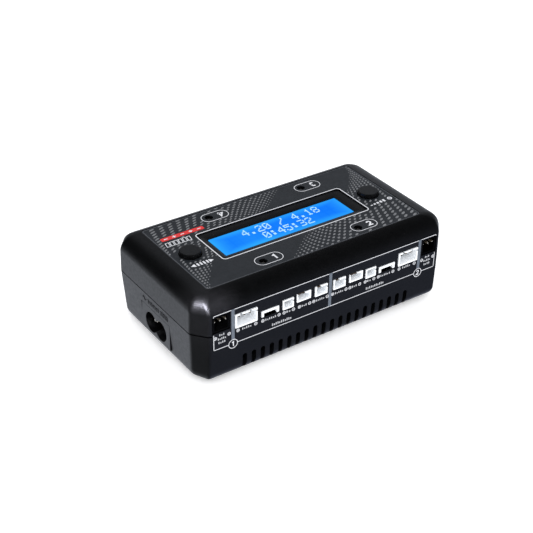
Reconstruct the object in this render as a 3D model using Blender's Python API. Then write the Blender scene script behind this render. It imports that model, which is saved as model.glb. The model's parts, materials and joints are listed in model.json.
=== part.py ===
"""Four-channel balance battery charger for model aircraft: two-part shell, display, buttons and sockets.

+X is the long axis, -Y the front (channels 1 and 2), +Y the back (channels 3 and 4), -X the mains end.
The origin is on the surface that the charger stands on, under its middle.
"""
import math

import bmesh
import bpy

MM = 0.001
GAP = 0.3 * MM  # clearance between pieces that meet
LABEL_GAP = 0.1 * MM  # the same around the edge of a label

# Shell: half sizes, heights and corner facets
SHELL_BASE_Z = 1.0 * MM
LABEL_TOP_Z = 39.9 * MM  # upper surface of the top label
RIM_Z = LABEL_TOP_Z + 0.2 * MM
SEAM_Z = LABEL_TOP_Z - 16.2 * MM
SHOULDER_Z = LABEL_TOP_Z - 6.6 * MM  # where the walls start to lean in to the top
END_X = 61.95 * MM
SEAM_END_X = 62.1 * MM
BASE_END_X = 61.0 * MM
FACE_Y = 33.5 * MM
BASE_FACE_Y = 33.1 * MM
RIM_X = 53.2 * MM
RIM_Y = 26.2 * MM
END_BULGE = 0.84  # roundness of the top edge over the ends, 0 flat to 1 square
FACE_BULGE = 0.45  # the same over the front and back
BASE_RADIUS = 5.0 * MM
WALL = 2.2 * MM
CEILING_Z = LABEL_TOP_Z - 2.5 * MM
FACET_X = 5.2 * MM  # corner facet's legs at the seam
FACET_Y = 6.2 * MM
BASE_FACET_X = 4.0 * MM
BASE_FACET_Y = 7.0 * MM
RIM_FACET_X = 1.4 * MM
RIM_FACET_Y = 1.0 * MM
FACET_SOFTNESS = 0.12  # share of a facet that each of its round edges takes, up to the shoulder
RIM_SOFTNESS = 0.45  # the same at the rim
SOFT_STEPS = 3
OFFSET_SHRINK = 2 - math.sqrt(2)  # how much a facet's leg shortens per unit of inward offset
LIP = 1.0 * MM  # upright lips inside the ends that line up the two shells
LIP_HALF_Y = 20.0 * MM
TOP_STEPS = 12
BASE_STEPS = 8

# Labels
SHEET = 0.3 * MM
TOP_LABEL_X = 52.7 * MM
TOP_LABEL_Y = 25.65 * MM
TOP_LABEL_CORNER = 1.2 * MM
SIDE_LABEL_X = 55.6 * MM
SIDE_LABEL_LOW_Z = LABEL_TOP_Z - 23.5 * MM
SIDE_LABEL_HIGH_Z = LABEL_TOP_Z - 6.7 * MM
SIDE_LABEL_FACE_Y = 33.6 * MM
SIDE_LABEL_CORNER = 1.0 * MM

# Display
BEZEL_X = 36.2 * MM  # sloping recess at the label
BEZEL_Y = 11.15 * MM
BEZEL_MIDDLE = (0.55 * MM, 0.55 * MM)
BEZEL_CORNER = 1.5 * MM
SCREEN_X = 31.95 * MM  # raised screen inside the opening
SCREEN_Y = 6.85 * MM
SCREEN_MIDDLE_Y = 0.35 * MM
SCREEN_TOP_Z = LABEL_TOP_Z - 1.65 * MM
SCREEN_FLANGE_X = 36.5 * MM
SCREEN_FLANGE_Y = 10.5 * MM
SCREEN_BOTTOM_Z = LABEL_TOP_Z - 5.0 * MM
BACKLIGHT_Y = 12.0 * MM
BACKLIGHT_BOTTOM_Z = LABEL_TOP_Z - 7.9 * MM

# Buttons and indicator lamps
BUTTON_X = 44.75 * MM
BUTTON_RADIUS = 4.5 * MM
BUTTON_TOP_Z = LABEL_TOP_Z + 1.8 * MM
BUTTON_FLANGE_RADIUS = 6.2 * MM
BUTTON_BOTTOM_Z = LABEL_TOP_Z - 3.4 * MM
BUTTON_EDGE = 0.45 * MM
BUTTON_SEGMENTS = 64
SWITCH_HALF = 3.0 * MM
SWITCH_TOP_Z = LABEL_TOP_Z - 4.5 * MM
PLUNGER_RADIUS = 1.75 * MM
PLUNGER_LENGTH = 2.3 * MM
LAMP_X = 23.56 * MM
LAMP_Y = 20.22 * MM
LAMP_RADIUS = 1.5 * MM
LAMP_FLANGE_RADIUS = 1.9 * MM
LAMP_FLANGE = 1.0 * MM
LAMP_TOP_Z = LABEL_TOP_Z - 0.8 * MM
LAMP_SEGMENTS = 32

# Circuit boards
BOARD = 1.6 * MM
CONTROL_X = 47.5 * MM
CONTROL_Y = 22.6 * MM
CONTROL_TOP_Z = LABEL_TOP_Z - 8.2 * MM
MAIN_X = 58.0 * MM
MAIN_Y = 30.5 * MM
MAIN_CORNER = 7.0 * MM
MAIN_TOP_Z = LABEL_TOP_Z - 16.5 * MM
LINK_X = 28.0 * MM  # pin header that joins the control board to the main board
LINK_Y = 17.0 * MM
LINK_HALF_X = 9.0 * MM
LINK_HALF_Y = 2.5 * MM
POWER_LEFT_X = -44.0 * MM
POWER_RIGHT_X = 46.0 * MM
POWER_Y = 26.5 * MM
POWER_BOTTOM_Z = 5.0 * MM

# Screws, posts and feet
SCREW_X = 52.0 * MM
SCREW_Y = 18.5 * MM
POST_RADIUS = 3.3 * MM
SCREW_RADIUS = 1.25 * MM
SCREW_HEAD_RADIUS = 2.4 * MM
SCREW_HEAD_Z = 4.1 * MM
SCREW_SEAT_Z = 6.0 * MM
SCREW_TIP_Z = LABEL_TOP_Z - 9.0 * MM
SCREW_RECESS = 0.9 * MM
FOOT_X = 42.0 * MM
FOOT_Y = 22.0 * MM
FOOT_RADIUS = 4.0 * MM
FOOT_HEIGHT = 1.5 * MM

# Vent slots along the lower front and back edges
VENT_COUNT = 20
VENT_PITCH = 4.28 * MM
VENT_WIDTH = 2.1 * MM
VENT_TOP_Z = LABEL_TOP_Z - 30.0 * MM
VENT_INNER_Y = 30.7 * MM

# Mains inlet, a two-pole figure-of-eight type
INLET_FACE_X = -61.6 * MM
INLET_BACK_X = -46.5 * MM
INLET_HALF_Y = 11.0 * MM
INLET_LOW_Z = LABEL_TOP_Z - 34.3 * MM
INLET_HIGH_Z = LABEL_TOP_Z - 22.3 * MM
INLET_AXIS_Z = LABEL_TOP_Z - 28.9 * MM
INLET_LOBE_Y = 3.75 * MM
INLET_LOBE_RADIUS = 4.5 * MM
INLET_DEPTH = 11.0 * MM
INLET_PIN_Y = 4.3 * MM
INLET_PIN_RADIUS = 1.18 * MM
INLET_PIN_SETBACK = 2.2 * MM
INLET_PIN_BACK_X = -43.5 * MM

# Battery sockets of one channel, in millimetres: name, distance of the two sides from the middle of the
# face, bottom and top below the label, mouth position, wall, cavity depth, number of contacts, their pitch
# and how far they are above the middle
SOCKET_BACK_Y = 23.2 * MM
SOCKETS = (
    ("pack_socket", 47.9, 55.3, -15.0, -7.7, 33.3, 0.75, 8.6, 3, 2.5, 0.8),
    ("balance_socket", 35.2, 45.4, -16.1, -9.9, 33.9, 0.7, 8.6, 3, 2.5, 1.0),
    ("slim_socket", 25.0, 33.2, -15.7, -13.0, 33.8, 1.05, 7.0, 3, 1.5, -0.5),
    ("latch_socket", 18.0, 23.2, -16.0, -11.6, 33.9, 0.6, 7.0, 2, 1.5, 0.4),
    ("open_socket", 9.6, 16.4, -15.0, -11.2, 33.8, 0.6, 7.0, 2, 2.5, 0.4),
    ("small_socket", 1.5, 7.6, -15.5, -10.9, 33.9, 0.6, 7.0, 2, 2.0, 0.5),
)
# Openings in a socket's top wall, as distances in millimetres from its left side
TOP_OPENINGS = {
    "balance_socket": ((2.2, 3.3), (6.6, 7.7)),
    "open_socket": ((0.4, 4.0),),
    "small_socket": ((0.9, 2.9),),
}
TOP_OPENING_DEPTH = 3.0 * MM
SIDE_SLOTTED = ("balance_socket", "latch_socket", "small_socket")
SIDE_SLOT_TOP = 1.1 * MM  # below the top of the socket
SIDE_SLOT_HEIGHT = 0.6 * MM
SIDE_SLOT_DEPTH = 3.0 * MM
CONTACT_HALF = 0.32 * MM
CONTACT_SETBACK = 3.4 * MM
CONTACT_ROOT = 0.8 * MM

# Power supply parts in the lower shell; boxes are their low and high corners, bare numbers are millimetres
CORE_BOX = ((-12.0, -8.0, 7.2), (12.0, 8.0, 21.2))
CORE_BAR = 4.0 * MM
COIL_HALF_X = 7.7 * MM
COIL_HALF_Y = 12.0 * MM
CAPACITOR_RADIUS = 6.4 * MM
CAPACITOR_X = (18.0, 42.0)
CAPACITOR_Y = -12.0
CAPACITOR_Z = 14.0
FUSE_X = (-40.0, -20.0)
FUSE_Y = -16.0
FUSE_Z = 11.0
FUSE_RADIUS = 2.6 * MM
FUSE_CAP_RADIUS = 3.1 * MM
HEATSINK_BOX = ((18.0, 6.0, 7.2), (42.0, 20.0, 10.2))
HEATSINK_FINS = 6
HEATSINK_FIN_TOP_Z = 21.0 * MM
HEATSINK_FIN_WIDTH = 1.4 * MM

BLACK_SHELL = ("shell_plastic", (0.012, 0.012, 0.013), 0.42, 0.0)
BLACK_SATIN = ("satin_plastic", (0.02, 0.02, 0.022), 0.5, 0.0)
LABEL_DARK = ("label_film", (0.03, 0.032, 0.037), 0.45, 0.0)
WHITE_NYLON = ("white_nylon", (0.82, 0.83, 0.83), 0.45, 0.0)
BLUE_SCREEN = ("blue_screen", (0.01, 0.16, 0.9), 0.2, 0.0)
BOARD_GREEN = ("board_laminate", (0.02, 0.16, 0.07), 0.5, 0.0)
RUBBER = ("foot_rubber", (0.02, 0.02, 0.02), 0.85, 0.0)
STEEL = ("screw_steel", (0.32, 0.32, 0.33), 0.35, 1.0)
PIN_METAL = ("pin_metal", (0.75, 0.72, 0.66), 0.25, 1.0)
LAMP_PLASTIC = ("lamp_plastic", (0.55, 0.56, 0.55), 0.15, 0.0)
FERRITE = ("ferrite", (0.05, 0.05, 0.052), 0.7, 0.0)
COIL_TAPE = ("coil_tape", (0.8, 0.62, 0.08), 0.4, 0.0)
SLEEVE = ("capacitor_sleeve", (0.03, 0.03, 0.06), 0.35, 0.0)
FUSE_GLASS = ("fuse_ceramic", (0.8, 0.78, 0.72), 0.4, 0.0)
ALUMINIUM = ("heatsink_aluminium", (0.7, 0.71, 0.72), 0.35, 1.0)


def clear_scene():
    for obj in list(bpy.data.objects):
        bpy.data.objects.remove(obj, do_unlink=True)


def material(spec):
    """The Principled material of a (name, colour, roughness, metallic) row, made once."""
    name, colour, roughness, metallic = spec
    found = bpy.data.materials.get(name)
    if found:
        return found
    made = bpy.data.materials.new(name)
    made.use_nodes = True
    shader = made.node_tree.nodes["Principled BSDF"]
    shader.inputs["Base Color"].default_value = (*colour, 1.0)
    shader.inputs["Roughness"].default_value = roughness
    shader.inputs["Metallic"].default_value = metallic
    made.diffuse_color = (*colour, 1.0)
    return made


def place(name, bm, spec, location=(0, 0, 0), turn=0.0, smooth=True):
    """Turn a bmesh into a named object."""
    bmesh.ops.recalc_face_normals(bm, faces=bm.faces)
    mesh = bpy.data.meshes.new(name)
    bm.to_mesh(mesh)
    bm.free()
    return place_mesh(name, mesh, spec, location, turn, smooth)


def place_mesh(name, mesh, spec, location=(0, 0, 0), turn=0.0, smooth=True):
    if spec and not mesh.materials:
        mesh.materials.append(material(spec))
    if smooth:
        mesh.shade_smooth()
        mesh.set_sharp_from_angle(angle=math.radians(35))
    obj = bpy.data.objects.new(name, mesh)
    obj.location = location
    obj.rotation_euler = (0, 0, turn)
    bpy.context.scene.collection.objects.link(obj)
    return obj


def helper(name, bm):
    """A cutter or an added shape for a Boolean, hidden from renders."""
    obj = place(name, bm, None, smooth=False)
    obj.hide_render = True
    obj.display_type = "WIRE"
    return obj


def combine(obj, other, operation):
    boolean = obj.modifiers.new(f"{operation}_{other.name}", "BOOLEAN")
    boolean.operation = operation
    boolean.solver = "EXACT"
    boolean.object = other


def cut(obj, other):
    combine(obj, other, "DIFFERENCE")


def join(obj, other):
    combine(obj, other, "UNION")


def baked(obj):
    """The mesh of an object with its modifiers applied, the object being removed."""
    depsgraph = bpy.context.evaluated_depsgraph_get()
    mesh = bpy.data.meshes.new_from_object(obj.evaluated_get(depsgraph))
    mesh.name = obj.name
    bpy.data.objects.remove(obj, do_unlink=True)
    return mesh


def add_box(bm, low, high):
    """A box between two corners."""
    corners = bmesh.ops.create_cube(bm, size=1.0)["verts"]
    for vert in corners:
        for axis in range(3):
            vert.co[axis] = high[axis] if vert.co[axis] > 0 else low[axis]
    return corners


def add_prism(bm, outline, axis, start, end):
    """A closed outline of points on two axes, extruded along the third from start to end."""
    others = [index for index in range(3) if index != axis]

    def ring(level):
        verts = []
        for first, second in outline:
            point = [0.0, 0.0, 0.0]
            point[others[0]] = first
            point[others[1]] = second
            point[axis] = level
            verts.append(bm.verts.new(point))
        return verts

    add_loft_verts(bm, [ring(start), ring(end)])


def add_loft_verts(bm, rings):
    """Join rings of vertices with quads and close both ends."""
    count = len(rings[0])
    for lower, upper in zip(rings, rings[1:]):
        for index in range(count):
            following = (index + 1) % count
            bm.faces.new((lower[index], lower[following], upper[following], upper[index]))
    bm.faces.new(rings[0][::-1])
    bm.faces.new(rings[-1])


def add_loft(bm, rings):
    add_loft_verts(bm, [[bm.verts.new(point) for point in ring] for ring in rings])


def add_cylinder(bm, axis, centre, radius, start, end, segments=24):
    """A cylinder along an axis; centre holds the other two coordinates."""
    add_prism(bm, circle(centre, radius, segments), axis, start, end)


def add_lathe(bm, profile, segments):
    """A round solid about Z from (radius, height) pairs."""
    add_loft(bm, [[(x, y, z) for x, y in circle((0, 0), radius, segments)] for radius, z in profile])


def circle(centre, radius, segments):
    return arc(centre, radius, 0.0, 2 * math.pi * (1 - 1 / segments), segments)


def arc(centre, radius, first, last, count):
    step = (last - first) / max(count - 1, 1)
    return [
        (centre[0] + radius * math.cos(first + step * k), centre[1] + radius * math.sin(first + step * k))
        for k in range(count)
    ]


def rounded_rectangle(low, high, radius, segments=4):
    """A rectangle outline with round corners, from its low and high corners."""
    points = []
    corners = (
        (high[0] - radius, high[1] - radius),
        (low[0] + radius, high[1] - radius),
        (low[0] + radius, low[1] + radius),
        (high[0] - radius, low[1] + radius),
    )
    for index, corner in enumerate(corners):
        points += arc(corner, radius, index * math.pi / 2, (index + 1) * math.pi / 2, segments)
    return points


def facet_ring(half_x, half_y, facet_x, facet_y, z, softness=0.0):
    """A rectangle with a flat facet across each corner, the facet's edges sharp or softly rounded."""
    first = (half_x, half_y - facet_y)
    last = (half_x - facet_x, half_y)
    if softness:
        across = (-facet_x, facet_y)
        length = math.hypot(*across)
        quarter = soft_corner(first, (0, length), across, softness)
        quarter += soft_corner(last, across, (-length, 0), softness)
    else:
        quarter = [first, last]
    points = list(quarter)
    points += [(-x, y) for x, y in reversed(quarter)]
    points += [(-x, -y) for x, y in quarter]
    points += [(x, -y) for x, y in reversed(quarter)]
    return [(x, y, z) for x, y in points]


def soft_corner(corner, arriving, leaving, share):
    """A curve in place of a corner, reaching a share of the two directions to either side."""
    start = [c - share * step for c, step in zip(corner, arriving)]
    end = [c + share * step for c, step in zip(corner, leaving)]
    return [quadratic(start, corner, end, step / SOFT_STEPS) for step in range(SOFT_STEPS + 1)]


def inset_ring(half_x, half_y, facet_x, facet_y, z, offset, softness=0.0):
    """A facet ring moved inwards by one offset on every side."""
    shrink = OFFSET_SHRINK * offset
    return facet_ring(half_x - offset, half_y - offset, facet_x - shrink, facet_y - shrink, z, softness)


def quadratic(start, control, end, fraction):
    """A point on the quadratic curve between two points."""
    rest = 1 - fraction
    return [rest * rest * a + 2 * rest * fraction * b + fraction * fraction * c
            for a, b, c in zip(start, control, end)]


def curve_point(low, high, bulge, fraction):
    """A point on the curve over the top edge, from the shoulder to the rim."""
    corner = (low[0], high[1])
    control = [(a + b) / 2 + bulge * (c - (a + b) / 2) for a, b, c in zip(low, high, corner)]
    return quadratic(low, control, high, fraction)


def end_x_at(z):
    """Half length of the shell at a height on the rounded top edge of its ends."""
    low, high = 0.0, 1.0
    for _ in range(40):
        middle = (low + high) / 2
        if curve_point((END_X, SHOULDER_Z), (RIM_X, RIM_Z), END_BULGE, middle)[1] < z:
            low = middle
        else:
            high = middle
    return curve_point((END_X, SHOULDER_Z), (RIM_X, RIM_Z), END_BULGE, low)[0]


def upper_outer_rings():
    rings = [facet_ring(SEAM_END_X, FACE_Y, FACET_X, FACET_Y, SEAM_Z + GAP / 2, FACET_SOFTNESS)]
    rings.append(facet_ring(END_X, FACE_Y, FACET_X, FACET_Y, SHOULDER_Z, FACET_SOFTNESS))
    for step in range(1, TOP_STEPS + 1):
        half_y, z = curve_point((FACE_Y, SHOULDER_Z), (RIM_Y, RIM_Z), FACE_BULGE, step / TOP_STEPS)
        share = (FACE_Y - half_y) / (FACE_Y - RIM_Y)
        facet_x = FACET_X + (RIM_FACET_X - FACET_X) * share
        facet_y = FACET_Y + (RIM_FACET_Y - FACET_Y) * share
        softness = FACET_SOFTNESS + (RIM_SOFTNESS - FACET_SOFTNESS) * share
        half_x = RIM_X if step == TOP_STEPS else end_x_at(z)
        rings.append(facet_ring(half_x, half_y, facet_x, facet_y, z, softness))
    return rings


def upper_inner_rings():
    side = (END_X, FACE_Y, FACET_X, FACET_Y)
    return [
        inset_ring(*side, SEAM_Z - 1 * MM, WALL),
        inset_ring(*side, SHOULDER_Z, WALL),
        facet_ring(END_X - 4.2 * MM, FACE_Y - 3.6 * MM, 4.0 * MM, 4.0 * MM, LABEL_TOP_Z - 4.2 * MM),
        facet_ring(END_X - 6.8 * MM, FACE_Y - 5.5 * MM, 3.0 * MM, 3.0 * MM, CEILING_Z),
    ]


def lower_outer_rings():
    base = (BASE_END_X, BASE_FACE_Y, BASE_FACET_X, BASE_FACET_Y)
    rings = []
    for step in range(BASE_STEPS + 1):
        angle = math.pi / 2 * step / BASE_STEPS
        z = SHELL_BASE_Z + BASE_RADIUS * (1 - math.cos(angle))
        rings.append(inset_ring(*base, z, BASE_RADIUS * (1 - math.sin(angle)), FACET_SOFTNESS))
    label_end_x = SEAM_END_X - (SEAM_END_X - BASE_END_X) * 0.45
    low_z = SIDE_LABEL_LOW_Z - GAP
    side = (label_end_x, FACE_Y, FACET_X - 0.5 * MM, FACET_Y + 0.4 * MM)
    rings.append(facet_ring(*side, low_z, FACET_SOFTNESS))
    rings.append(facet_ring(SEAM_END_X, FACE_Y, FACET_X, FACET_Y, SEAM_Z - GAP / 2, FACET_SOFTNESS))
    return rings


def lower_inner_rings():
    base = (BASE_END_X, BASE_FACE_Y, BASE_FACET_X, BASE_FACET_Y)
    floor_z = SHELL_BASE_Z + WALL
    return [
        inset_ring(*base, floor_z, WALL + 3.0 * MM),
        inset_ring(*base, floor_z + 1.2 * MM, WALL + 0.9 * MM),
        inset_ring(*base, floor_z + 3.0 * MM, WALL),
        inset_ring(SEAM_END_X, FACE_Y, FACET_X, FACET_Y, SEAM_Z + 1 * MM, WALL),
    ]


def four(x, y):
    """The four places at plus and minus x and y."""
    return [(sx * x, sy * y) for sy in (-1, 1) for sx in (-1, 1)]


def channels():
    """Channel number, the side of the face it is on and the turn of its face about Z."""
    return ((1, -1, 0.0), (2, 1, 0.0), (3, -1, math.pi), (4, 1, math.pi))


def socket_size(row):
    """Centre, width, bottom, top and mouth of a socket row, in metres."""
    _, near, far, bottom, top, mouth = row[:6]
    centre = (near + far) / 2 * MM
    return centre, (far - near) * MM, LABEL_TOP_Z + bottom * MM, LABEL_TOP_Z + top * MM, mouth * MM


def add_socket_windows(bm, low_y, high_y, bottom_z=None):
    """Boxes around the sockets of the front and the back face, between two depths from the middle."""
    for row in SOCKETS:
        centre, width, bottom, top, _ = socket_size(row)
        half = width / 2 + GAP
        low_z = bottom - GAP if bottom_z is None else bottom_z
        for side in (-1, 1):
            for facing in (-1, 1):
                ends = sorted((facing * low_y, facing * high_y))
                low = (side * centre - half, ends[0], low_z)
                high = (side * centre + half, ends[1], top + GAP)
                add_box(bm, low, high)


def add_side_pockets(bm):
    """Shallow pockets for the front and back labels."""
    low = (-SIDE_LABEL_X - LABEL_GAP, SIDE_LABEL_LOW_Z - LABEL_GAP)
    high = (SIDE_LABEL_X + LABEL_GAP, SIDE_LABEL_HIGH_Z + LABEL_GAP)
    outline = rounded_rectangle(low, high, SIDE_LABEL_CORNER + LABEL_GAP)
    floor_y = SIDE_LABEL_FACE_Y - SHEET - GAP
    add_prism(bm, outline, 1, -FACE_Y - 2 * MM, -floor_y)
    add_prism(bm, outline, 1, floor_y, FACE_Y + 2 * MM)


def upper_shell():
    bm = bmesh.new()
    add_loft(bm, upper_outer_rings())
    shell = place("upper_shell", bm, BLACK_SHELL)

    bm = bmesh.new()
    add_loft(bm, upper_inner_rings())
    cut(shell, helper("upper_hollow", bm))

    bm = bmesh.new()
    for x, y in four(SCREW_X, SCREW_Y):
        add_cylinder(bm, 2, (x, y), POST_RADIUS, SEAM_Z + GAP / 2, CEILING_Z + 0.9 * MM, 16)
    join(shell, helper("upper_posts", bm))

    bm = bmesh.new()
    for x, y in four(SCREW_X, SCREW_Y):
        add_cylinder(bm, 2, (x, y), SCREW_RADIUS + GAP, SEAM_Z - 2 * MM, SCREW_TIP_Z + 1 * MM, 12)
    cut(shell, helper("upper_pilot_holes", bm))

    bm = bmesh.new()
    recess_floor = LABEL_TOP_Z - SHEET - GAP
    half = (TOP_LABEL_X + LABEL_GAP, TOP_LABEL_Y + LABEL_GAP)
    outline = rounded_rectangle((-half[0], -half[1]), half, TOP_LABEL_CORNER + LABEL_GAP)
    add_prism(bm, outline, 2, recess_floor, RIM_Z + 2 * MM)
    cut(shell, helper("top_label_recess", bm))

    bm = bmesh.new()
    foot = (SCREEN_X + GAP, SCREEN_Y + GAP, 0, SCREEN_MIDDLE_Y)
    edge = (BEZEL_X, BEZEL_Y, *BEZEL_MIDDLE)
    above = LABEL_TOP_Z + 0.5 * MM
    reach = (above - SCREEN_TOP_Z) / (LABEL_TOP_Z - SCREEN_TOP_Z)
    mouth = [a + (b - a) * reach for a, b in zip(foot, edge)]
    rings = []
    for (half_x, half_y, middle_x, middle_y), corner, z in (
        (foot, 0.3 * MM, CEILING_Z - 1 * MM),
        (foot, 0.3 * MM, SCREEN_TOP_Z),
        (mouth, BEZEL_CORNER, above),
    ):
        outline = rounded_rectangle((-half_x, -half_y), (half_x, half_y), corner, 3)
        rings.append([(middle_x + x, middle_y + y, z) for x, y in outline])
    add_loft(bm, rings)
    cut(shell, helper("display_bezel_opening", bm))

    bm = bmesh.new()
    for side in (-1, 1):
        centre = (side * BUTTON_X, 0)
        low_z, high_z = CEILING_Z - 1 * MM, RIM_Z + 1 * MM
        add_cylinder(bm, 2, centre, BUTTON_RADIUS + GAP, low_z, high_z, BUTTON_SEGMENTS)
    for x, y in four(LAMP_X, LAMP_Y):
        add_cylinder(bm, 2, (x, y), LAMP_RADIUS + GAP, low_z, high_z, LAMP_SEGMENTS)
    cut(shell, helper("button_and_lamp_holes", bm))

    bm = bmesh.new()
    add_side_pockets(bm)
    cut(shell, helper("upper_side_pockets", bm))

    bm = bmesh.new()
    add_socket_windows(bm, MAIN_Y, FACE_Y + 2 * MM, SEAM_Z - 2 * MM)
    cut(shell, helper("socket_notches", bm))
    return shell


def add_vent_slots(bm):
    """Upright slots with round tops that run down and under the lower edge."""
    half = VENT_WIDTH / 2
    arch_z = VENT_TOP_Z - half
    for index in range(VENT_COUNT):
        x = (index - (VENT_COUNT - 1) / 2) * VENT_PITCH
        outline = arc((x, arch_z), half, 0.0, math.pi, 9)
        outline += [(x - half, SHELL_BASE_Z - 2 * MM), (x + half, SHELL_BASE_Z - 2 * MM)]
        add_prism(bm, outline, 1, -FACE_Y - 2 * MM, -VENT_INNER_Y)
        add_prism(bm, outline, 1, VENT_INNER_Y, FACE_Y + 2 * MM)


def lower_shell():
    bm = bmesh.new()
    add_loft(bm, lower_outer_rings())
    shell = place("lower_shell", bm, BLACK_SHELL)

    bm = bmesh.new()
    add_loft(bm, lower_inner_rings())
    cut(shell, helper("lower_hollow", bm))

    bm = bmesh.new()
    post_top = MAIN_TOP_Z - BOARD - GAP
    for x, y in four(SCREW_X, SCREW_Y):
        add_cylinder(bm, 2, (x, y), POST_RADIUS, SHELL_BASE_Z + 0.5 * MM, post_top, 16)
    join(shell, helper("lower_posts", bm))

    bm = bmesh.new()
    outer = END_X - WALL - GAP
    inner = outer - LIP
    root = END_X - WALL + 0.8 * MM
    bottom = SEAM_Z - 5.5 * MM
    shelf = bottom + 2 * MM
    top = SEAM_Z + 1.4 * MM
    for side in (-1, 1):
        outline = [(inner, bottom), (root, bottom), (root, shelf), (outer, shelf), (outer, top), (inner, top)]
        add_prism(bm, [(side * x, z) for x, z in outline], 1, -LIP_HALF_Y, LIP_HALF_Y)
    join(shell, helper("locating_lips", bm))

    bm = bmesh.new()
    for x, y in four(SCREW_X, SCREW_Y):
        add_cylinder(bm, 2, (x, y), SCREW_RADIUS + GAP, 0, post_top + 1 * MM, 12)
    cut(shell, helper("lower_screw_holes", bm))

    bm = bmesh.new()
    for x, y in four(SCREW_X, SCREW_Y):
        add_cylinder(bm, 2, (x, y), SCREW_HEAD_RADIUS + GAP, 0, SCREW_SEAT_Z, 16)
    for x, y in four(FOOT_X, FOOT_Y):
        top = FOOT_HEIGHT + GAP
        add_cylinder(bm, 2, (x, y), FOOT_RADIUS + GAP, 0, top, 24)
    cut(shell, helper("head_and_foot_recesses", bm))

    bm = bmesh.new()
    low = (INLET_FACE_X - 3 * MM, -INLET_HALF_Y - GAP, INLET_LOW_Z - GAP)
    high = (INLET_FACE_X + 4 * MM, INLET_HALF_Y + GAP, INLET_HIGH_Z + GAP)
    add_box(bm, low, high)
    cut(shell, helper("inlet_window", bm))

    bm = bmesh.new()
    add_side_pockets(bm)
    cut(shell, helper("lower_side_pockets", bm))

    bm = bmesh.new()
    add_vent_slots(bm)
    cut(shell, helper("vent_slots", bm))
    return shell


def top_label():
    bm = bmesh.new()
    half = (TOP_LABEL_X, TOP_LABEL_Y)
    outline = rounded_rectangle((-half[0], -half[1]), half, TOP_LABEL_CORNER)
    add_prism(bm, outline, 2, LABEL_TOP_Z - SHEET, LABEL_TOP_Z)
    label = place("top_label", bm, LABEL_DARK)

    bm = bmesh.new()
    low_z = LABEL_TOP_Z - 1 * MM
    high_z = LABEL_TOP_Z + 1 * MM
    outline = rounded_rectangle((-BEZEL_X, -BEZEL_Y), (BEZEL_X, BEZEL_Y), BEZEL_CORNER)
    outline = [(x + BEZEL_MIDDLE[0], y + BEZEL_MIDDLE[1]) for x, y in outline]
    add_prism(bm, outline, 2, low_z, high_z)
    for side in (-1, 1):
        centre = (side * BUTTON_X, 0)
        add_cylinder(bm, 2, centre, BUTTON_RADIUS + GAP, low_z, high_z, BUTTON_SEGMENTS)
    for x, y in four(LAMP_X, LAMP_Y):
        add_cylinder(bm, 2, (x, y), LAMP_RADIUS + GAP, low_z, high_z, LAMP_SEGMENTS)
    cut(label, helper("top_label_openings", bm))


def side_labels():
    outline = rounded_rectangle(
        (-SIDE_LABEL_X, SIDE_LABEL_LOW_Z), (SIDE_LABEL_X, SIDE_LABEL_HIGH_Z), SIDE_LABEL_CORNER)
    bm = bmesh.new()
    add_socket_windows(bm, FACE_Y - 2 * MM, FACE_Y + 2 * MM)
    windows = helper("label_windows", bm)
    for name, facing in (("front_label", -1), ("rear_label", 1)):
        bm = bmesh.new()
        face = facing * SIDE_LABEL_FACE_Y
        back = facing * (SIDE_LABEL_FACE_Y - SHEET)
        add_prism(bm, outline, 1, back, face)
        cut(place(name, bm, LABEL_DARK), windows)


def display():
    bm = bmesh.new()
    shelf = CEILING_Z - GAP
    rings = []
    for half_x, half_y, z in (
        (SCREEN_FLANGE_X, SCREEN_FLANGE_Y, SCREEN_BOTTOM_Z),
        (SCREEN_FLANGE_X, SCREEN_FLANGE_Y, shelf),
        (SCREEN_X, SCREEN_Y, shelf),
        (SCREEN_X, SCREEN_Y, SCREEN_TOP_Z),
    ):
        low_y, high_y = SCREEN_MIDDLE_Y - half_y, SCREEN_MIDDLE_Y + half_y
        rings.append([(-half_x, low_y, z), (half_x, low_y, z), (half_x, high_y, z), (-half_x, high_y, z)])
    add_loft(bm, rings)
    place("display_screen", bm, BLUE_SCREEN, smooth=False)

    bm = bmesh.new()
    low = (-SCREEN_FLANGE_X, -BACKLIGHT_Y, BACKLIGHT_BOTTOM_Z)
    add_box(bm, low, (SCREEN_FLANGE_X, BACKLIGHT_Y, SCREEN_BOTTOM_Z - GAP))
    place("display_backlight", bm, WHITE_NYLON, smooth=False)


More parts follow.
